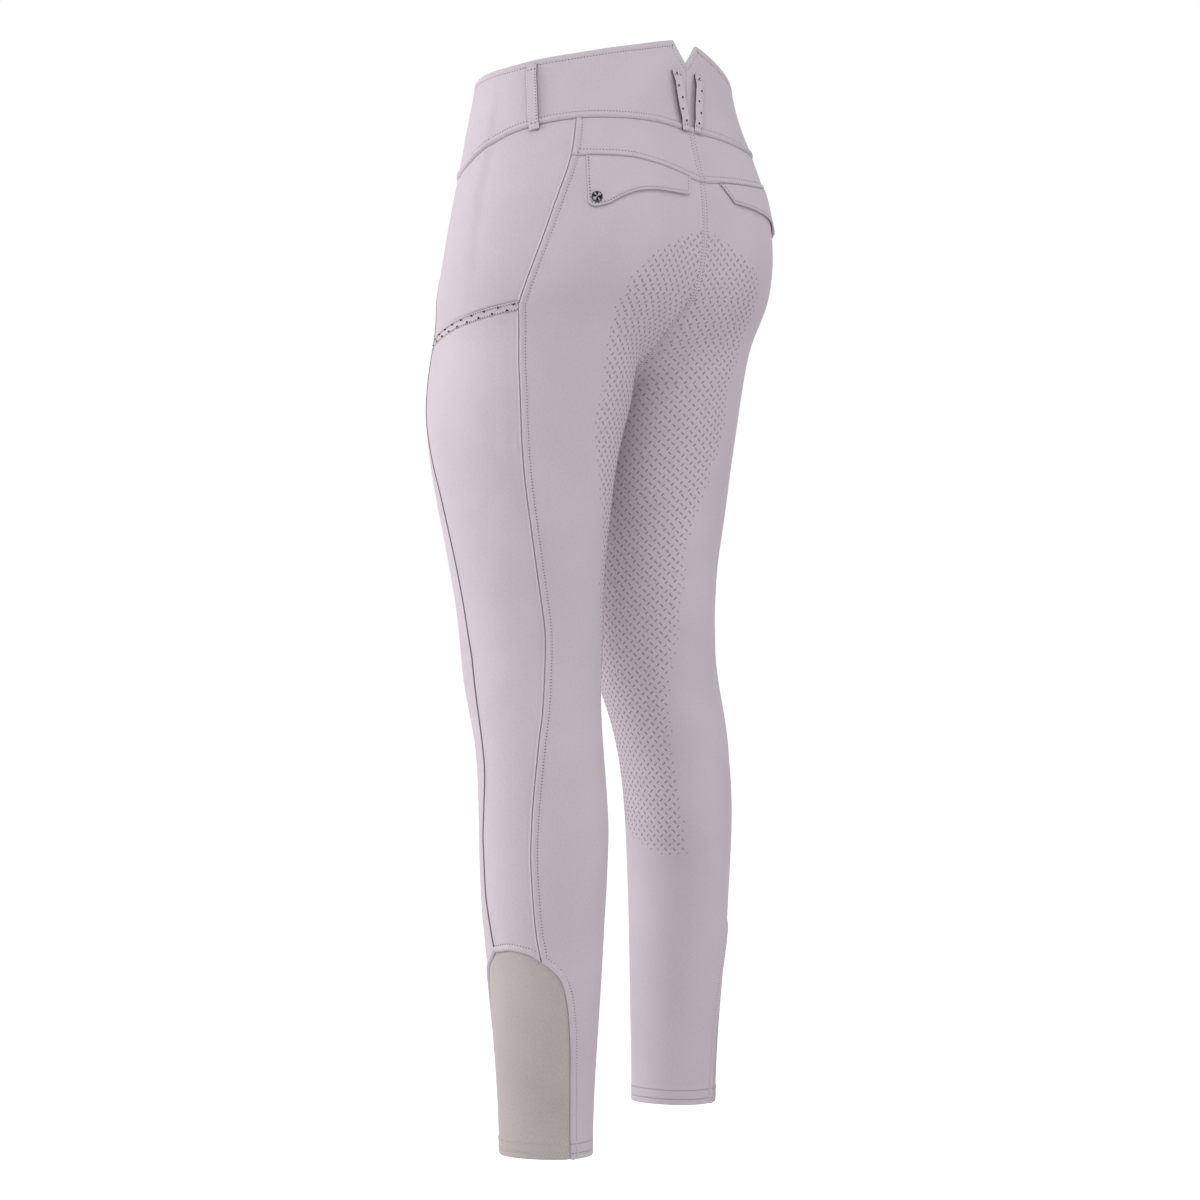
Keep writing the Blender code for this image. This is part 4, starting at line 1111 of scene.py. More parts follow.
def dash_shape(tree, given):
    """Printed dash: rounded bar with a slightly smaller top."""
    bar = add_node(tree, "GeometryNodeCurvePrimitiveQuadrilateral", links={
        "Width": given.outputs["Length"], "Height": given.outputs["Width"]})
    radius = add_node(tree, "ShaderNodeMath", {1: 0.42}, {0: given.outputs["Width"]},
                      operation="MULTIPLY")
    soft = add_node(tree, "GeometryNodeFilletCurve", {"Count": 1}, {
        "Curve": bar.outputs["Curve"], "Radius": radius.outputs["Value"]}, mode="POLY")
    face = add_node(tree, "GeometryNodeFillCurve", links={"Curve": soft.outputs["Curve"]},
                    mode="NGONS")
    tall = add_node(tree, "GeometryNodeExtrudeMesh", links={
        "Mesh": face.outputs["Mesh"], "Offset Scale": given.outputs["Height"]}, mode="FACES")
    top = add_node(tree, "GeometryNodeScaleElements", {"Scale": 0.80}, {
        "Geometry": tall.outputs["Mesh"], "Selection": tall.outputs["Top"]})
    return top.outputs["Geometry"]


def crystal_shape(tree, given):
    """Flat-backed crystal: ring of facets round a small table."""
    tall = add_node(tree, "ShaderNodeMath", {1: 0.36}, {0: given.outputs["Width"]},
                    operation="MULTIPLY")
    wide = add_node(tree, "ShaderNodeMath", {1: 0.50}, {0: given.outputs["Width"]},
                    operation="MULTIPLY")
    table = add_node(tree, "ShaderNodeMath", {1: 0.26}, {0: given.outputs["Width"]},
                     operation="MULTIPLY")
    cone = add_node(tree, "GeometryNodeMeshCone", {"Vertices": 8}, {
        "Radius Top": table.outputs["Value"], "Radius Bottom": wide.outputs["Value"],
        "Depth": tall.outputs["Value"]})
    return cone.outputs["Mesh"]


def run_tree(name, points, edges, vectors, tree, values):
    """Run a node tree on a mesh of points or edges, and keep what it makes as a plain mesh."""
    mesh = bpy.data.meshes.new(name + "_rows")
    mesh.from_pydata(points.tolist(), edges, [])
    for label, data in vectors.items():
        kind = "FLOAT_VECTOR" if data.ndim > 1 else "FLOAT"
        attribute = mesh.attributes.new(label, kind, "POINT")
        attribute.data.foreach_set("vector" if data.ndim > 1 else "value",
                                   data.astype(np.float32).ravel())
    source = placed(name + "_rows", mesh)
    modifier = source.modifiers.new("make", "NODES")
    modifier.node_group = tree
    for item in tree.interface.items_tree:
        if item.in_out == "INPUT" and item.name in values:
            modifier[item.identifier] = values[item.name]
    bpy.context.view_layer.update()
    made = source.evaluated_get(bpy.context.evaluated_depsgraph_get())
    result = bpy.data.meshes.new_from_object(made)
    result.name = name
    source.modifiers.clear()
    bpy.data.objects.remove(source)
    return placed(name, result)


# ---------------------------------------------------------------- what each panel is cut from
def by_share(curve, shift=0.0):
    """Seam level from a curve against the share."""
    return lambda turn, z: curve(share(turn, z)) + shift


def by_turn(curve, shift=0.0):
    """Seam level from a curve against the turn."""
    return lambda turn, z: curve(turn) + shift


def above(curve, corner):
    """A curve that stays where it is at its corner below that level."""
    return lambda z: curve(np.maximum(z, corner))


def panels(side):
    """The cut of every flat piece: side edges, levels from the top down, gaps and slot."""
    gap = HALF_SEAM
    piped = 0.0015
    hem = (lambda turn, z: hem_at(turn, side), NEAR_HEM)
    crotch = (CROTCH_Z, NEAR_CROTCH)
    return {
        "waistband": (front_end, back_end,
                      [(by_share(TOP_AT), NEAR_SEAM), (by_share(BAND_AT[side]), NEAR_SEAM)],
                      (gap, gap, 0, gap), "waistband"),
        "yoke": (SIDE_AT, back_end,
                 [(by_share(BAND_AT[side]), NEAR_SEAM), (by_share(YOKE_AT[side]), NEAR_SEAM)],
                 (gap, gap, gap, gap), "softshell"),
        "back": (SIDE_AT, back_end,
                 [(by_share(YOKE_AT[side]), NEAR_SEAM), (POCKET_CORNER, PLAIN), crotch,
                  (SIDE_CORNER, NEAR_CROTCH), hem], (gap, gap, gap, 0), "softshell"),
        "front": (front_end, FRONT_AT,
                  [(by_share(BAND_AT[side]), NEAR_SEAM), crotch, (FRONT_CORNER, NEAR_CROTCH), hem],
                  (gap, piped, gap, 0), "softshell"),
        "side_upper": (FRONT_AT, SIDE_AT,
                       [(by_share(BAND_AT[side]), NEAR_SEAM),
                        (by_turn(MOUTH_AT, MOUTH_TALL / 2), NEAR_SEAM)],
                       (piped, gap, 2 * gap, gap), "softshell"),
        "pocket_mouth": (FRONT_AT, SIDE_AT,
                         [(by_turn(MOUTH_AT, MOUTH_TALL / 2), NEAR_SEAM),
                          (by_turn(MOUTH_AT, -MOUTH_TALL / 2), NEAR_SEAM)],
                         (piped, gap, gap, gap), "trim"),
        "side_lower": (above(FRONT_AT, FRONT_CORNER), above(SIDE_AT, SIDE_CORNER),
                       [(by_turn(MOUTH_AT, -MOUTH_TALL / 2), NEAR_SEAM),
                        (by_turn(ARCH_AT), NEAR_SEAM)], (piped, gap, gap, gap), "softshell"),
        "sock": (FRONT_AT, SIDE_AT, [(by_turn(ARCH_AT), NEAR_SEAM), hem],
                 (gap, gap, gap, 0), "sock_knit"),
        "pocket_bag": (lambda z: FRONT_AT(z) + BAG_FRONT, lambda z: SIDE_AT(z) - BAG_SIDE,
                       [(by_turn(MOUTH_AT, BAG_TOP), PLAIN), (BAG_FOOT, PLAIN)],
                       (0, 0, 0, 0), "lining"),
    }


def cut_pieces(names):
    """Make the shells of the named pieces on both sides."""
    cloth = bpy.context.scene.breeches_cloth
    faces = {"sock": (sock_knit(), brushed_inside()), "pocket_bag": (lining(), lining())}
    ends = {"waistband": (NEAR_SEAM, NEAR_NOTCH), "pocket_bag": (PLAIN, PLAIN)}
    for side in (1, -1):
        for name in names:
            left, right, cuts, gaps, slot = panels(side)[name]
            turn, z = panel_grid(left, right, cuts, ends.get(name, (NEAR_SEAM, NEAR_SEAM)),
                                 cloth.mesh_step)
            shell(name, side, turn, z, gaps,
                  faces.get(name, (softshell(), brushed_inside())))


# ---------------------------------------------------------------- operators
class BREECHES_OT_panels(bpy.types.Operator):
    """Cut and sew the front, back, yoke and side panels"""
    bl_idname = "breeches.panels"
    bl_label = "Panels"

    def execute(self, context):
        cut_pieces(("front", "back", "yoke", "side_upper", "side_lower"))
        return {"FINISHED"}


class BREECHES_OT_waistband(bpy.types.Operator):
    """Set on the deep waistband with its V notch"""
    bl_idname = "breeches.waistband"
    bl_label = "Waistband"

    def execute(self, context):
        cut_pieces(("waistband",))
        return {"FINISHED"}


class BREECHES_OT_socks(bpy.types.Operator):
    """Let the elastic sock inserts into the hems"""
    bl_idname = "breeches.socks"
    bl_label = "Sock inserts"

    def execute(self, context):
        cut_pieces(("sock",))
        return {"FINISHED"}


class BREECHES_OT_pockets(bpy.types.Operator):
    """Bind the mouths of the phone pockets and line their bags"""
    bl_idname = "breeches.pockets"
    bl_label = "Pockets"

    def execute(self, context):
        cut_pieces(("pocket_mouth", "pocket_bag"))
        return {"FINISHED"}


def tube(path, across, up, wide, tall, sides=14, square=0.75):
    """Rings of a soft-cornered strip along a path."""
    a = np.linspace(0, 2 * math.pi, sides, endpoint=False)
    u = np.sign(np.cos(a)) * np.abs(np.cos(a)) ** (1 - square / 2) * 0.5 * wide
    v = np.sign(np.sin(a)) * np.abs(np.sin(a)) ** (1 - square / 3) * 0.5 * tall
    return path[:, None] + across[:, None] * u[None, :, None] + up[:, None] * v[None, :, None]


def capped_tube(name, rings, side, materials):
    """Closed mesh of rings with rounded ends."""
    m, k = rings.shape[:2]
    verts = rings.reshape(-1, 3)
    quads = []
    for i in range(m - 1):
        for j in range(k):
            a, b = i * k + j, i * k + (j + 1) % k
            quads.append((a, b, b + k, a + k))
    mesh = bpy.data.meshes.new(name)
    ends = [tuple(range(k))[::-1], tuple(range((m - 1) * k, m * k))]
    mesh.from_pydata((verts * mirror(side)).tolist(), [], quads + ends)
    for mat in materials:
        mesh.materials.append(mat)
    mesh.polygons.foreach_set("use_smooth", [True] * len(mesh.polygons))
    turn_outward(mesh)
    return placed(name, mesh)


def strip_uv(mesh, rings):
    """UV in metres along a strip."""
    along, around = lengths(rings[:, 0]), lengths(rings[0])
    place = np.stack(np.broadcast_arrays(around[None, :], -along[:, None]), -1).reshape(-1, 2)
    write_uv(mesh, place)


class BREECHES_OT_piping(bpy.types.Operator):
    """Lay the dark piping into the front seam"""
    bl_idname = "breeches.piping"
    bl_label = "Piping"

    def execute(self, context):
        wide = context.scene.breeches_cloth.piping_width
        z = np.linspace(-0.0600, -0.7545, 330)
        turn = FRONT_AT(z)
        line = on_cloth(turn, z)
        n, ahead = outward(line), unit(np.gradient(line, axis=0))
        across = unit(np.cross(n, ahead))
        for side in (1, -1):
            lift = crease(line, side) + 0.0001
            rings = tube(line + n * lift[:, None], across, n, wide, 0.0016, 10, 0.0)
            name = "piping_" + side_name(side)
            obj = capped_tube(name + "_cord", rings, side, (satin_cord(),))
            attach(obj, "root")
            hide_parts(name)
        return {"FINISHED"}


def flap_height(t):
    """How far the flap's face stands off the cloth, at a share of its depth."""
    return FLAP_OUT + FLAP_LIFT * t ** 1.5


def flap_grid(side):
    """Turn and level of the flap's grid."""
    inner, outer = firm_curve(FLAP_INNER[side]), firm_curve(FLAP_OUTER[side])
    near = (0, 0.0004, 0.0009, 0.0015, 0.0021, 0.0027, 0.0033, 0.0042, 0.0060)
    cuts = [(by_share(YOKE_AT[side], -0.0008), PLAIN), (by_share(FOOT_AT[side]), near)]
    return panel_grid(lambda z: turn_of(outer(z), z), lambda z: turn_of(inner(z), z), cuts,
                      (near, near), 0.0025)


def flap_surface(side):
    """Face of the flap and the distance of each of its points to the free edge."""
    base = on_cloth(*flap_grid(side))
    down, over = lengths(base), lengths(base, 1)
    gap = np.minimum(np.minimum(over, over[:, -1:] - over), down[-1:] - down)
    height = flap_height(down / down[-1:])
    # turned edge: rounded rim, then a row of stitches drawn in
    height = (height - 0.00055 * (1 - ramp(gap / 0.0009))
              + 0.00030 * (1 - ramp((gap - 0.0018) / 0.0012))
              - 0.00022 * bump(gap, 0.0026, 0.0007))
    return base, outward(base), height, gap


class BREECHES_OT_flaps(bpy.types.Operator):
    """Hang the welt flaps from the yoke seam and set a stud on each"""
    bl_idname = "breeches.flaps"
    bl_label = "Flaps and studs"

    def execute(self, context):
        wide = context.scene.breeches_trim.stud
        for side in (1, -1):
            base, n, height, gap = flap_surface(side)
            face = base + n * height[..., None]
            wall = FLAP_WALL - 0.0004 * (1 - ramp(gap / 0.0009))
            back = face - n * wall[..., None]
            verts, quads, count = close_grids(face, back)
            if winding(face) < 0:
                quads = quads[:, ::-1]
            name = "flap_" + side_name(side)
            obj = new_piece(name + "_cloth", verts, quads, side, (softshell(), brushed_inside()),
                            count, 2 * count)
            lay_uv(obj.data, face, side)
            finish_cloth(obj, [name], flat_cut(face, 1.0))
            self.stud(side, wide)
        return {"FINISHED"}

    def stud(self, side, wide):
        """Setting with a rolled rim, and a cut stone that rises to a point."""
        q, z = np.array(STUD_AT[side])
        point = on_cloth(turn_of(q, z), z)
        n = outward(point)
        up = unit(np.array([0.0, 0.0, 1.0]) - n * n[2])
        across = np.cross(up, n)
        base = point + n * (flap_height(0.92) + 0.00035)
        verts, faces = [], []

        def ring(radius, heights):
            start = len(verts)
            for k, height in enumerate(heights):
                a = 2 * math.pi * k / len(heights)
                verts.append(base + radius * wide * (math.cos(a) * across + math.sin(a) * up)
                             + n * height)
            return list(range(start, len(verts)))

        def between(lower, upper):
            faces.extend(zip(lower, lower[1:] + lower[:1], upper[1:] + upper[:1], upper))

        rim = [ring(radius, [height] * STUD_SIDES) for radius, height in STUD_RIM]
        faces.append(rim[0][::-1])
        for lower, upper in zip(rim, rim[1:]):
            between(lower, upper)
        faces.append(rim[-1])
        smooth = len(faces)
        # the stone's wedges lean to one side and to the other by turns
        girdle = ring(0.42, [0.0004] * STUD_WEDGES)
        crown = ring(0.41, [0.0007, 0.0012] * (STUD_WEDGES // 2))
        faces.append(girdle[::-1])
        between(girdle, crown)
        verts.append(base + n * STUD_POINT)
        pointed = len(faces)
        faces.extend((i, j, len(verts) - 1) for i, j in zip(crown, crown[1:] + crown[:1]))
        mesh = bpy.data.meshes.new("stud")
        mesh.from_pydata((np.array(verts) * mirror(side)).tolist(), [], faces)
        for mat in (dark_nickel(), dark_crystal(), painted_highlight_facet()):
            mesh.materials.append(mat)
        for polygon in mesh.polygons:
            # painted highlight: three wedges of each half of the point get the bright finish, for
            # the lights' reflections
            painted_highlight = polygon.index >= pointed and (polygon.index - pointed) % 8 in (1, 2, 5)
            polygon.material_index = int(polygon.index >= smooth) + int(painted_highlight)
            polygon.use_smooth = polygon.index < smooth
        turn_outward(mesh)
        obj = placed(f"stud_{side_name(side)}_cut", mesh)
        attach(obj, "root")
        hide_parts("stud_" + side_name(side))


def loop_path(name, rows=72):
    """Middle line of a belt loop, its side direction, the way out and its lift."""
    (q0, z0), (q1, z1) = LOOPS[name]
    t = np.linspace(0, 1, rows)
    q, z = q0 + (q1 - q0) * t, z0 + (z1 - z0) * t
    point = on_cloth(turn_of(q, z), z)
    n = outward(point)
    across = unit(np.cross(np.gradient(point, axis=0), n))
    lift = LOOP_OUT - 0.0007 + LOOP_LIFT * ramp(np.minimum(t, 1 - t) / 0.22)
    return point, across, n, lift, t


class BREECHES_OT_loops(bpy.types.Operator):
    """Sew on the belt loops"""
    bl_idname = "breeches.loops"
    bl_label = "Belt loops"

    def execute(self, context):
        cloth = context.scene.breeches_cloth
        for name in LOOPS:
            point, across, n, lift, t = loop_path(name)
            # the ends are turned under, so they are thicker
            fold = 1 + 0.35 * (1 - ramp((np.minimum(t, 1 - t) - 0.05) / 0.03))
            for side in (1, -1):
                path = point + n * lift[:, None]
                rings = tube(path, across, n * fold[:, None], cloth.loop_width,
                             cloth.loop_thickness, LOOP_SIDES, 1.3)
                # stitched along both edges, so the strip is a little full between them
                full = 0.00012 * np.sin(np.linspace(0, 2 * np.pi, LOOP_SIDES))
                rings += n[:, None] * full[None, :, None]
                piece = f"{name}_{side_name(side)}"
                obj = capped_tube(piece + "_strip", rings, side, (softshell(), painted_slot_shade()))
                # painted shade: the dark finish covers the edges and the underside, for the shade
                # in the slot under the loop
                under = np.sin((np.arange(LOOP_SIDES) + 0.5) * 2 * math.pi / LOOP_SIDES) < 0.3
                index = np.zeros(len(obj.data.polygons), np.int32)
                index[:(len(rings) - 1) * LOOP_SIDES] = np.tile(under, len(rings) - 1)
                obj.data.polygons.foreach_set("material_index", index)
                strip_uv(obj.data, rings)
                length = float(np.linalg.norm(np.diff(path, axis=0), axis=-1).sum())
                girth = 2 * (cloth.loop_width + cloth.loop_thickness)
                finish_cloth(obj, [piece], (girth / 2, length, girth / 2 * length * 0.99))
        return {"FINISHED"}


# ---------------------------------------------------------------- sewing
def offset_line(points, distance, way):
    """Line along the cloth beside another: way is up, down, behind or ahead."""
    n, run = outward(points), unit(np.gradient(points, axis=0))
    across = np.cross(n, run)
    turn, z = place_of(points)
    if way in ("up", "down"):
        hint = np.array([0.0, 0.0, 1.0 if way == "up" else -1.0])
    else:
        hint = on_cloth(turn + (0.5 if way == "behind" else -0.5), z) - points
    across = across * np.sign((across * hint).sum(-1, keepdims=True))
    moved = points + across * distance
    return on_cloth(*place_of(moved))


def along_line(line, run, at):
    """Points of a line at given lengths along it."""
    return np.stack([np.interp(at, run, line[:, k]) for k in range(3)], -1)


def keep_between(points, test):
    """Split a line where a test of share, turn and level fails."""
    turn, z = place_of(points)
    a = front_end(z)
    turn = np.where(turn < a - 1e-6, turn + 360, turn)
    good = test(share(turn, z), turn, z) & (points[:, 0] > 0.0006)
    runs, start = [], None
    for i, ok in enumerate(list(good) + [False]):
        if ok and start is None:
            start = i
        elif not ok and start is not None:
            if i - start > 3:
                runs.append(points[start:i])
            start = None
    return runs


def stitch_rows(side):
    """Every row of stitching of a side: its piece, seam, distance, way and where it lies."""
    over_hem = lambda q, turn, z: z > hem_at(turn, side) + 0.0012
    yes = lambda q, turn, z: q > -1
    in_yoke = lambda q, turn, z: (z > YOKE_AT[side](q) + 0.0008) & (z < BAND_AT[side](q) - 0.0008)
    below_yoke = lambda q, turn, z: (z < YOKE_AT[side](q) - 0.0008)
    over_arch = lambda q, turn, z: (turn > FRONT_AT(z) + 2.0) & (turn < SIDE_AT(z) - 0.6)
    at_mouth = lambda q, turn, z: (turn > FRONT_AT(z) + 1.5) & (turn < SIDE_AT(z) - 0.4)
    back_hem = lambda q, turn, z: (turn > SIDE_AT(z) + 0.8) & (q < 0.995)
    front_hem = lambda q, turn, z: (turn < FRONT_AT(z) - 0.8) & (q > 0.005)
    return (
        ("waistband", "top", EDGE_ROW, "down", yes),
        ("waistband", "band", ROLL_ROW, "up", yes),
        ("yoke", "yoke", ROLL_ROW, "up",
         lambda q, turn, z: in_yoke(q, turn, z) & (turn > SIDE_AT(z) + 3.2)),
        ("yoke", "side", ROLL_ROW, "behind", in_yoke),
        ("back", "side", ROLL_ROW, "behind",
         lambda q, turn, z: below_yoke(q, turn, z) & (z > SIDE_CORNER + 0.0065)),
        ("back", "side_low", ROLL_ROW, "behind", over_hem),
        ("front", "front_low", ROLL_ROW, "ahead", over_hem),
        ("side_lower", "arch", ROLL_ROW, "up", over_arch),
        ("pocket_mouth", "mouth_top", 0.0012, "down", at_mouth),
        ("pocket_mouth", "mouth_foot", 0.0012, "up", at_mouth),
        ("yoke", "centre_back", 0.0026, "ahead", in_yoke),
        ("back", "centre_back", 0.0026, "ahead",
         lambda q, turn, z: below_yoke(q, turn, z) & (z > CROTCH_Z + 0.004)),
        *(("back", "hem", row, "up", back_hem) for row in HEM_ROWS),
        *(("front", "hem", row, "up", front_hem) for row in HEM_ROWS),
    )


def gather_rows(side):
    """Points, edges and outward directions of all stitch rows of one side."""
    points, edges, out = [], [], []

    def take(run, n):
        start = sum(len(p) for p in points)
        points.append(run)
        out.append(n)
        edges.extend((start + i, start + i + 1) for i in range(len(run) - 1))

    def sew(run, piece):
        n = outward(run)
        take(run + n * (relief(run, piece, side) + STITCH_LIFT)[:, None], n)

    for piece, seam, distance, way, test in stitch_rows(side):
        line = offset_line(SEAM_POINTS[own_name(seam, side)], distance, way)
        for run in keep_between(line, test):
            sew(run, piece)
    if side > 0:
        # the fly's curved row beside the centre front
        q, z = np.transpose(FLY_ROW)
        t = np.linspace(0, 1, 240)
        q, z = (soft_curve(list(zip(np.linspace(0, 1, len(q)), v)), 1)(t) for v in (q, z))
        sew(on_cloth(turn_of(q, z), z), "front")
    base, n, height = flap_surface(side)[:3]
    # along the free edge of the flap: down the outer end, along the foot and up the inner end
    inset = 4
    rim = ([(i, inset) for i in range(1, base.shape[0] - inset)]
           + [(base.shape[0] - 1 - inset, j) for j in range(inset, base.shape[1] - inset)]
           + [(i, base.shape[1] - 1 - inset) for i in range(base.shape[0] - 1 - inset, 0, -1)])
    rows, cols = np.array(rim).T
    take(base[rows, cols] + n[rows, cols] * (height[rows, cols] + STITCH_LIFT)[:, None],
         n[rows, cols])
    for name in LOOPS:
        point, across, n, lift, t = loop_path(name)
        top = point + n * (lift + 0.00078)[:, None]
        reach = 0.0033
        if name != "loop_back":
            for k in (-1, 1):
                take(top + across * (k * reach), n)
        for end in (3, 6):
            for i in (end, len(t) - 1 - end):
                ends = np.linspace(-reach, reach, 9)[:, None] * across[i] + top[i] + n[i] * 0.0002
                take(ends, np.repeat(n[i][None], 9, 0))
    return np.concatenate(points) * mirror(side), edges, np.concatenate(out) * mirror(side)


class BREECHES_OT_stitches(bpy.types.Operator):
    """Sew the rows of topstitching"""
    bl_idname = "breeches.stitches"
    bl_label = "Topstitching"

    def execute(self, context):
        sewing = context.scene.breeches_sewing
        tree = stitch_tree()
        for side in (1, -1):
            points, edges, out = gather_rows(side)
            obj = run_tree("topstitching_" + side_name(side), points, edges, {"out": out}, tree,
                           {"Pitch": sewing.pitch, "Length": sewing.length,
                            "Thickness": sewing.thickness, "Hole": sewing.hole,
                            "Thread": thread(), "Hole Shade": painted_hole_shade()})
            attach(obj, "root")
            for row in HEM_ROWS:
                self.zigzag(side, row)
        bpy.data.node_groups.remove(tree)
        return {"FINISHED"}

    def zigzag(self, side, row, pitch=0.0017, half=0.0010):
        """Elastic zigzag across the sock insert's hem."""
        line = offset_line(SEAM_POINTS[own_name("hem", side)], row, "up")
        line = keep_between(line, lambda q, turn, z: (turn > FRONT_AT(z) + 1.2)
                            & (turn < SIDE_AT(z) - 1.2))[0]
        run = lengths(line)
        spots = along_line(line, run, np.arange(0, run[-1], pitch))
        spots[:, 2] += half * (-1.0) ** np.arange(len(spots))
        spots = on_cloth(*place_of(spots))
        n = outward(spots)
        path = spots + n * (relief(spots, "sock", side) + STITCH_LIFT)[:, None]
        across = unit(np.cross(n, unit(np.gradient(path, axis=0))))
        rings = tube(path, across, n, 0.00062, 0.00050, 6, 0.0)
        obj = capped_tube(f"zigzag_{side_name(side)}_{round(row * 1e4)}", rings, side, (thread(),))
        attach(obj, "root")


# ---------------------------------------------------------------- grip print
def grip_grid(side):
    """Turns and levels of a grid, the upright plane's turn at each level, and how far down the
    print each place of the grid lies."""
    turn = np.arange(44.0, 242.0, 1.5)
    z = np.linspace(-0.705, -0.098, 600)
    grid = on_cloth(turn[None, :], z[:, None])
    rise, over = lengths(grid), lengths(grid, 1)
    rise -= rise[np.argmin(abs(z - GRIP_LEVEL))]
    near = turn < 178
    plane = leg_middle(z)[0] - GRIP_PLANE
    start = np.array([np.interp(-x, -row, turn[near]) for x, row in zip(plane, grid[:, near, 0])])
    over -= np.array([np.interp(a, turn, row) for a, row in zip(start, over)])[:, None]
    return turn, z, start, rise - np.interp(z, *np.transpose(GRIP_LEAN[side]))[:, None] * over


def grip_points(side, row_gap, gap):
    """Dashes in rows, each row set half a place on and turned the other way."""
    turn, z, start, rise = grip_grid(side)
    spots = []
    for i in range(math.floor(rise.min() / row_gap), math.ceil(rise.max() / row_gap)):
        level = np.array([np.interp(i * row_gap, rise[:, j], z, np.nan, np.nan)
                          for j in range(len(turn))])
        here = ~np.isnan(level)
        if here.sum() < 8:
            continue
        line = on_cloth(turn[here], level[here])
        along = lengths(line)
        lead = np.argmin(abs(turn[here] - np.interp(level[here], z, start, start[0], start[-1])))
        along -= along[lead]
        at = (np.arange(math.ceil(along[0] / gap), along[-1] / gap) + 0.5 * (i % 2)) * gap
        spots.append(np.stack([np.interp(at, along, turn[here]), np.interp(at, along, level[here]),
                               0 * at + 1 - 2 * (i % 2)], 1))
    turn, z, tilt = np.concatenate(spots).T
    q = share(turn, z)
    keep = (q < 1) & (q > 0.6)
    turn, z, tilt, q = turn[keep], z[keep], tilt[keep], q[keep]
    points = on_cloth(turn, z)
    # room to the print's edge, in places: below one the dashes shrink, below zero there are none
    girth = (back_end(z) - front_end(z)) * math.pi / 180 * np.linalg.norm(
        points[:, :2] - np.stack(leg_middle(z), -1), axis=-1)
    room = np.minimum((q - GRIP_EDGE_AT(z)) * girth, z - GRIP_FOOT_AT(q)) / gap
    clear = np.minimum(gap_to(points, "inner"), points[:, 0] / 1.1)
    keep = (room > 0) & (z < GRIP_TOP) & (clear > 0.0024)
    points, room, z, turn, tilt = points[keep], room[keep], z[keep], turn[keep], tilt[keep]
    n = outward(points)
    over = unit(on_cloth(turn + 0.5, z) - points)
    along = unit(np.cross(n, over) + tilt[:, None] * over)
    size = 0.62 + 0.38 * ramp(room / 1.1)
    face = points + n * (relief(points, "back", side) - 0.00004)[:, None]
    return face, n, along, size


class BREECHES_OT_grip(bpy.types.Operator):
    """Print the silicone grip on the seat and the inner legs"""
    bl_idname = "breeches.grip"
    bl_label = "Grip print"

    def execute(self, context):
        grip = context.scene.breeches_grip
        tree = scatter_tree("grip_dashes", dash_shape, (
            ("Length", "NodeSocketFloat", 0.0039), ("Width", "NodeSocketFloat", 0.0014),
            ("Height", "NodeSocketFloat", 0.0003)))
        for side in (1, -1):
            points, n, along, size = grip_points(side, grip.row_gap, grip.gap)
            points, n, along = (v * mirror(side) for v in (points, n, along))
            obj = run_tree("grip_print_" + side_name(side), points, [],
                           {"out": n, "along": along, "size": size}, tree,
                           {"Length": grip.length, "Width": grip.width, "Height": grip.height,
                            "Finish": silicone()})
            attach(obj, "root")
        bpy.data.node_groups.remove(tree)
        return {"FINISHED"}


# ---------------------------------------------------------------- crystals
def crystal_points(side):
    """Two staggered rows on the pocket mouth, and a zigzag on the back belt loop."""
    turn = np.linspace(float(SIDE_AT(POCKET_CORNER)), float(FRONT_AT(-0.208)), 400)
    spots, out = [], []
    for level, start in ((0.0020, 0.0045), (-0.0020, 0.0105)):
        line = on_cloth(turn, MOUTH_AT(turn) + level)
        run = lengths(line)
        spot = along_line(line, run, np.arange(start, run[-1] - 0.004, 0.0155))
        n = outward(spot)
        spots.append(spot + n * (0.0005 + crease(spot, side) + 0.00032)[:, None])
        out.append(n)
    point, across, n, lift, t = loop_path("loop_back")
    for place, shift in ((0.07, 0.4), (0.27, 2.2), (0.47, -0.6), (0.67, 2.0), (0.86, -0.4)):
        i = int(place * (len(t) - 1))
        spots.append((point[i] + n[i] * (lift[i] + 0.0010) + across[i] * shift * 0.001)[None])
        out.append(n[i][None])
    return np.concatenate(spots) * mirror(side), np.concatenate(out) * mirror(side)


class BREECHES_OT_crystals(bpy.types.Operator):
    """Set the small dark crystals"""
    bl_idname = "breeches.crystals"
    bl_label = "Crystals"

    def execute(self, context):
        wide = context.scene.breeches_trim.crystal
        tree = scatter_tree("crystals", crystal_shape, (("Width", "NodeSocketFloat", 0.0022),))
        for side in (1, -1):
            spots, out = crystal_points(side)
            along = unit(np.cross(out, np.array([0.3, 0.2, 1.0])))
            obj = run_tree("crystals_" + side_name(side), spots, [],
                           {"out": out, "along": along, "size": np.ones(len(spots))}, tree,
                           {"Width": wide, "Finish": dark_crystal()})
            obj.data.polygons.foreach_set("use_smooth", [False] * len(obj.data.polygons))
            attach(obj, "root")
        bpy.data.node_groups.remove(tree)
        return {"FINISHED"}


# ---------------------------------------------------------------- stage
def soft_light(name, spot, aim, wide, tall, power, code="ffffff"):
    lamp = bpy.data.lights.new(name, "AREA")
    lamp.shape, lamp.size, lamp.size_y, lamp.energy = "RECTANGLE", wide, tall, power
    lamp.color = linear(code)[:3]
    obj = placed(name, lamp)
    obj.location = spot
    obj.rotation_euler = (Vector(aim) - Vector(spot)).to_track_quat("-Z", "Y").to_euler()


def seen_only(tree, socket, lighting, seen):
    """One strength for what the camera sees and another for the light on the cloth."""
    path = add_node(tree, "ShaderNodeLightPath")
    power = add_node(tree, "ShaderNodeMapRange", {"To Min": lighting, "To Max": seen},
                     {"Value": path.outputs["Is Camera Ray"]})
    tree.links.new(power.outputs["Result"], socket)


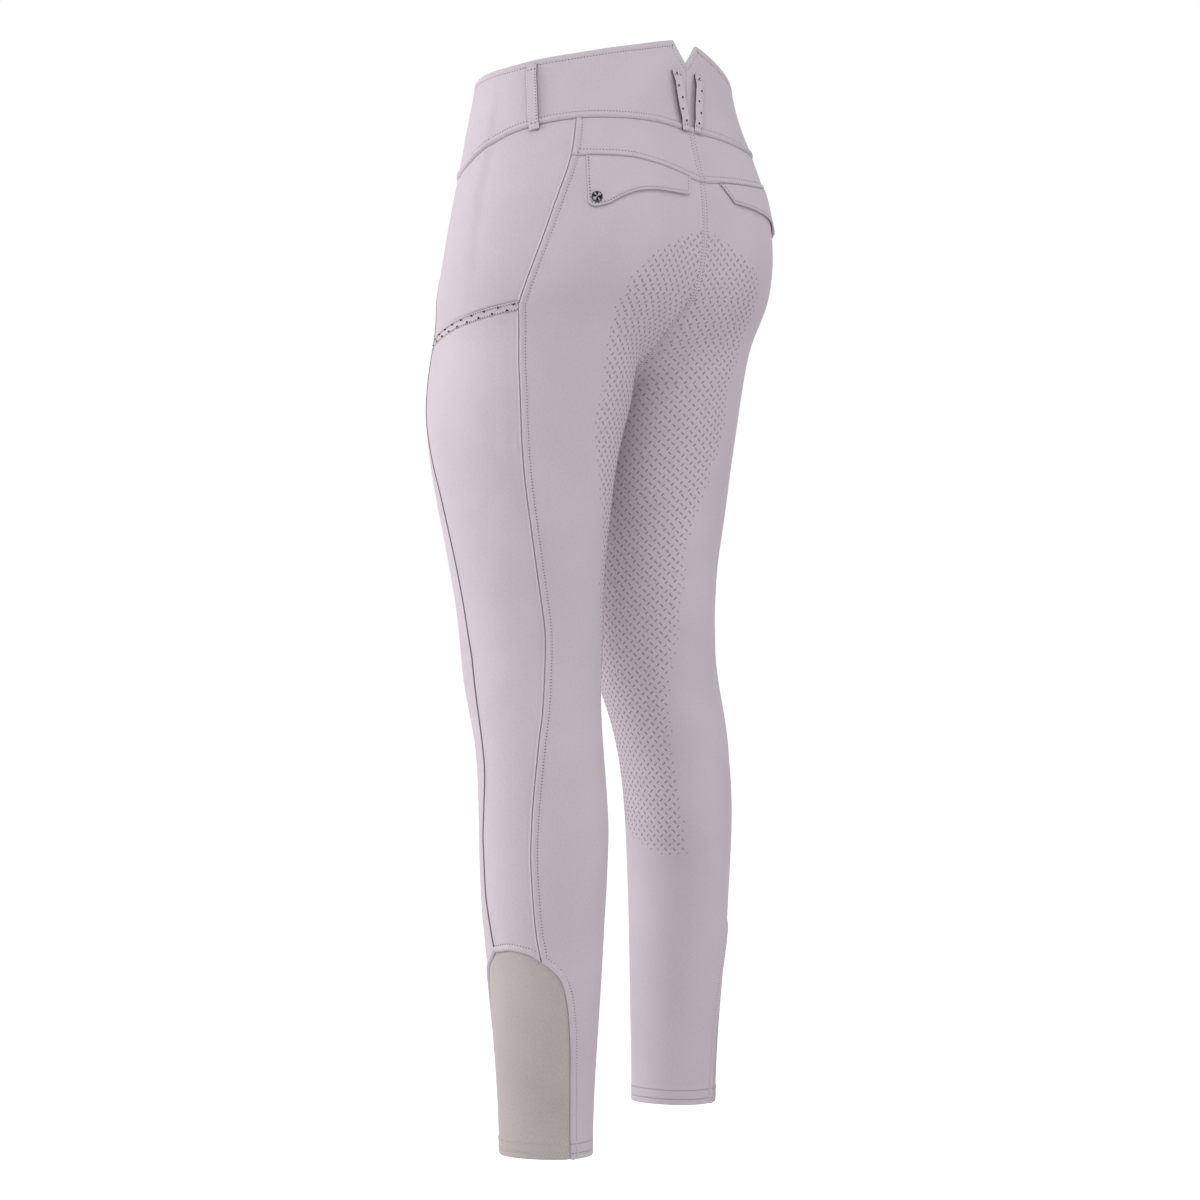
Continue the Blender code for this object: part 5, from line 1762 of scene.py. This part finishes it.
def pale_world():
    """White to the camera, and a dimmer even light on the cloth."""
    world = bpy.data.worlds.new("pale_studio")
    world.use_nodes = True
    background = world.node_tree.nodes["Background"]
    background.inputs["Color"].default_value = linear("ffffff")
    seen_only(world.node_tree, background.inputs["Strength"], 0.47, 1.0)
    return world


class BREECHES_OT_stage(bpy.types.Operator):
    """Set up the floor, the lights and the camera"""
    bl_idname = "breeches.stage"
    bl_label = "Stage"

    def execute(self, context):
        scene = context.scene
        scene.view_settings.view_transform = "Standard"
        scene.world = pale_world()
        floor_level = CAD_BOX[0].z - scene.breeches_trim.floor
        mesh = bpy.data.meshes.new("floor")
        radius, count = 14, 96
        verts = [(radius * math.cos(2 * math.pi * k / count),
                  radius * math.sin(2 * math.pi * k / count), floor_level) for k in range(count)]
        mesh.from_pydata(verts, [], [tuple(range(count))])
        mat, tree, skin = start_material("pale_floor", {
            "Roughness": 0.95, "Base Color": linear("f4f4f4"), "Specular IOR Level": 0.1,
            "Emission Color": linear("ffffff")})
        seen_only(tree, skin.inputs["Emission Strength"], 0.0, 0.60)
        mesh.materials.append(mat)
        placed("floor", mesh)
        soft_light("left_softbox", (1.50, -1.45, 0.05), (0.03, 0, -0.40), 1.7, 2.2, 21)
        soft_light("front_left_softbox", (0.80, -1.90, -0.20), (-0.04, 0, -0.45), 0.9, 1.8, 11,
                   "fff6f2")
        soft_light("right_softbox", (-1.2, 1.9, 0.0), (-0.05, 0, -0.4), 0.9, 2.0, 8)
        soft_light("high_fill", (1.3, 1.3, 1.3), (0, 0, -0.20), 1.6, 1.6, 22)
        camera = bpy.data.cameras.new("camera")
        camera.sensor_width, camera.lens = 36.0, 53.97
        camera.shift_x, camera.shift_y = -0.0042, -0.0667
        obj = placed("camera", camera)
        obj.location = (1.202, 1.202, -0.370)
        obj.rotation_euler = (math.radians(90), 0, math.radians(135))
        scene.camera = obj
        return {"FINISHED"}


class BREECHES_PT_sidebar(bpy.types.Panel):
    """Sizes and steps of the breeches"""
    bl_label = "Riding Breeches"
    bl_idname = "BREECHES_PT_sidebar"
    bl_space_type = "VIEW_3D"
    bl_region_type = "UI"
    bl_category = "Breeches"

    def draw(self, context):
        for group in (context.scene.breeches_cloth, context.scene.breeches_sewing,
                      context.scene.breeches_grip, context.scene.breeches_trim):
            box = self.layout.box()
            for name in group.__annotations__:
                box.prop(group, name)
        for operator in OPERATORS:
            self.layout.operator(operator.bl_idname)


GROUPS = {"breeches_cloth": BreechesClothSettings, "breeches_sewing": BreechesSewingSettings,
          "breeches_grip": BreechesGripSettings, "breeches_trim": BreechesTrimSettings}
OPERATORS = (BREECHES_OT_panels, BREECHES_OT_waistband, BREECHES_OT_socks, BREECHES_OT_pockets,
             BREECHES_OT_piping, BREECHES_OT_flaps, BREECHES_OT_loops, BREECHES_OT_stitches,
             BREECHES_OT_grip, BREECHES_OT_crystals, BREECHES_OT_stage)


def register():
    for group in GROUPS.values():
        bpy.utils.register_class(group)
    for name, group in GROUPS.items():
        setattr(bpy.types.Scene, name, bpy.props.PointerProperty(type=group))
    for operator in OPERATORS:
        bpy.utils.register_class(operator)
    bpy.utils.register_class(BREECHES_PT_sidebar)


def unregister():
    bpy.utils.unregister_class(BREECHES_PT_sidebar)
    for operator in reversed(OPERATORS):
        bpy.utils.unregister_class(operator)
    for name, group in GROUPS.items():
        delattr(bpy.types.Scene, name)
        bpy.utils.unregister_class(group)


def main():
    register()
    for operator in OPERATORS:
        area, step = operator.bl_idname.split(".")
        getattr(getattr(bpy.ops, area), step)()


if __name__ == "__main__":
    main()
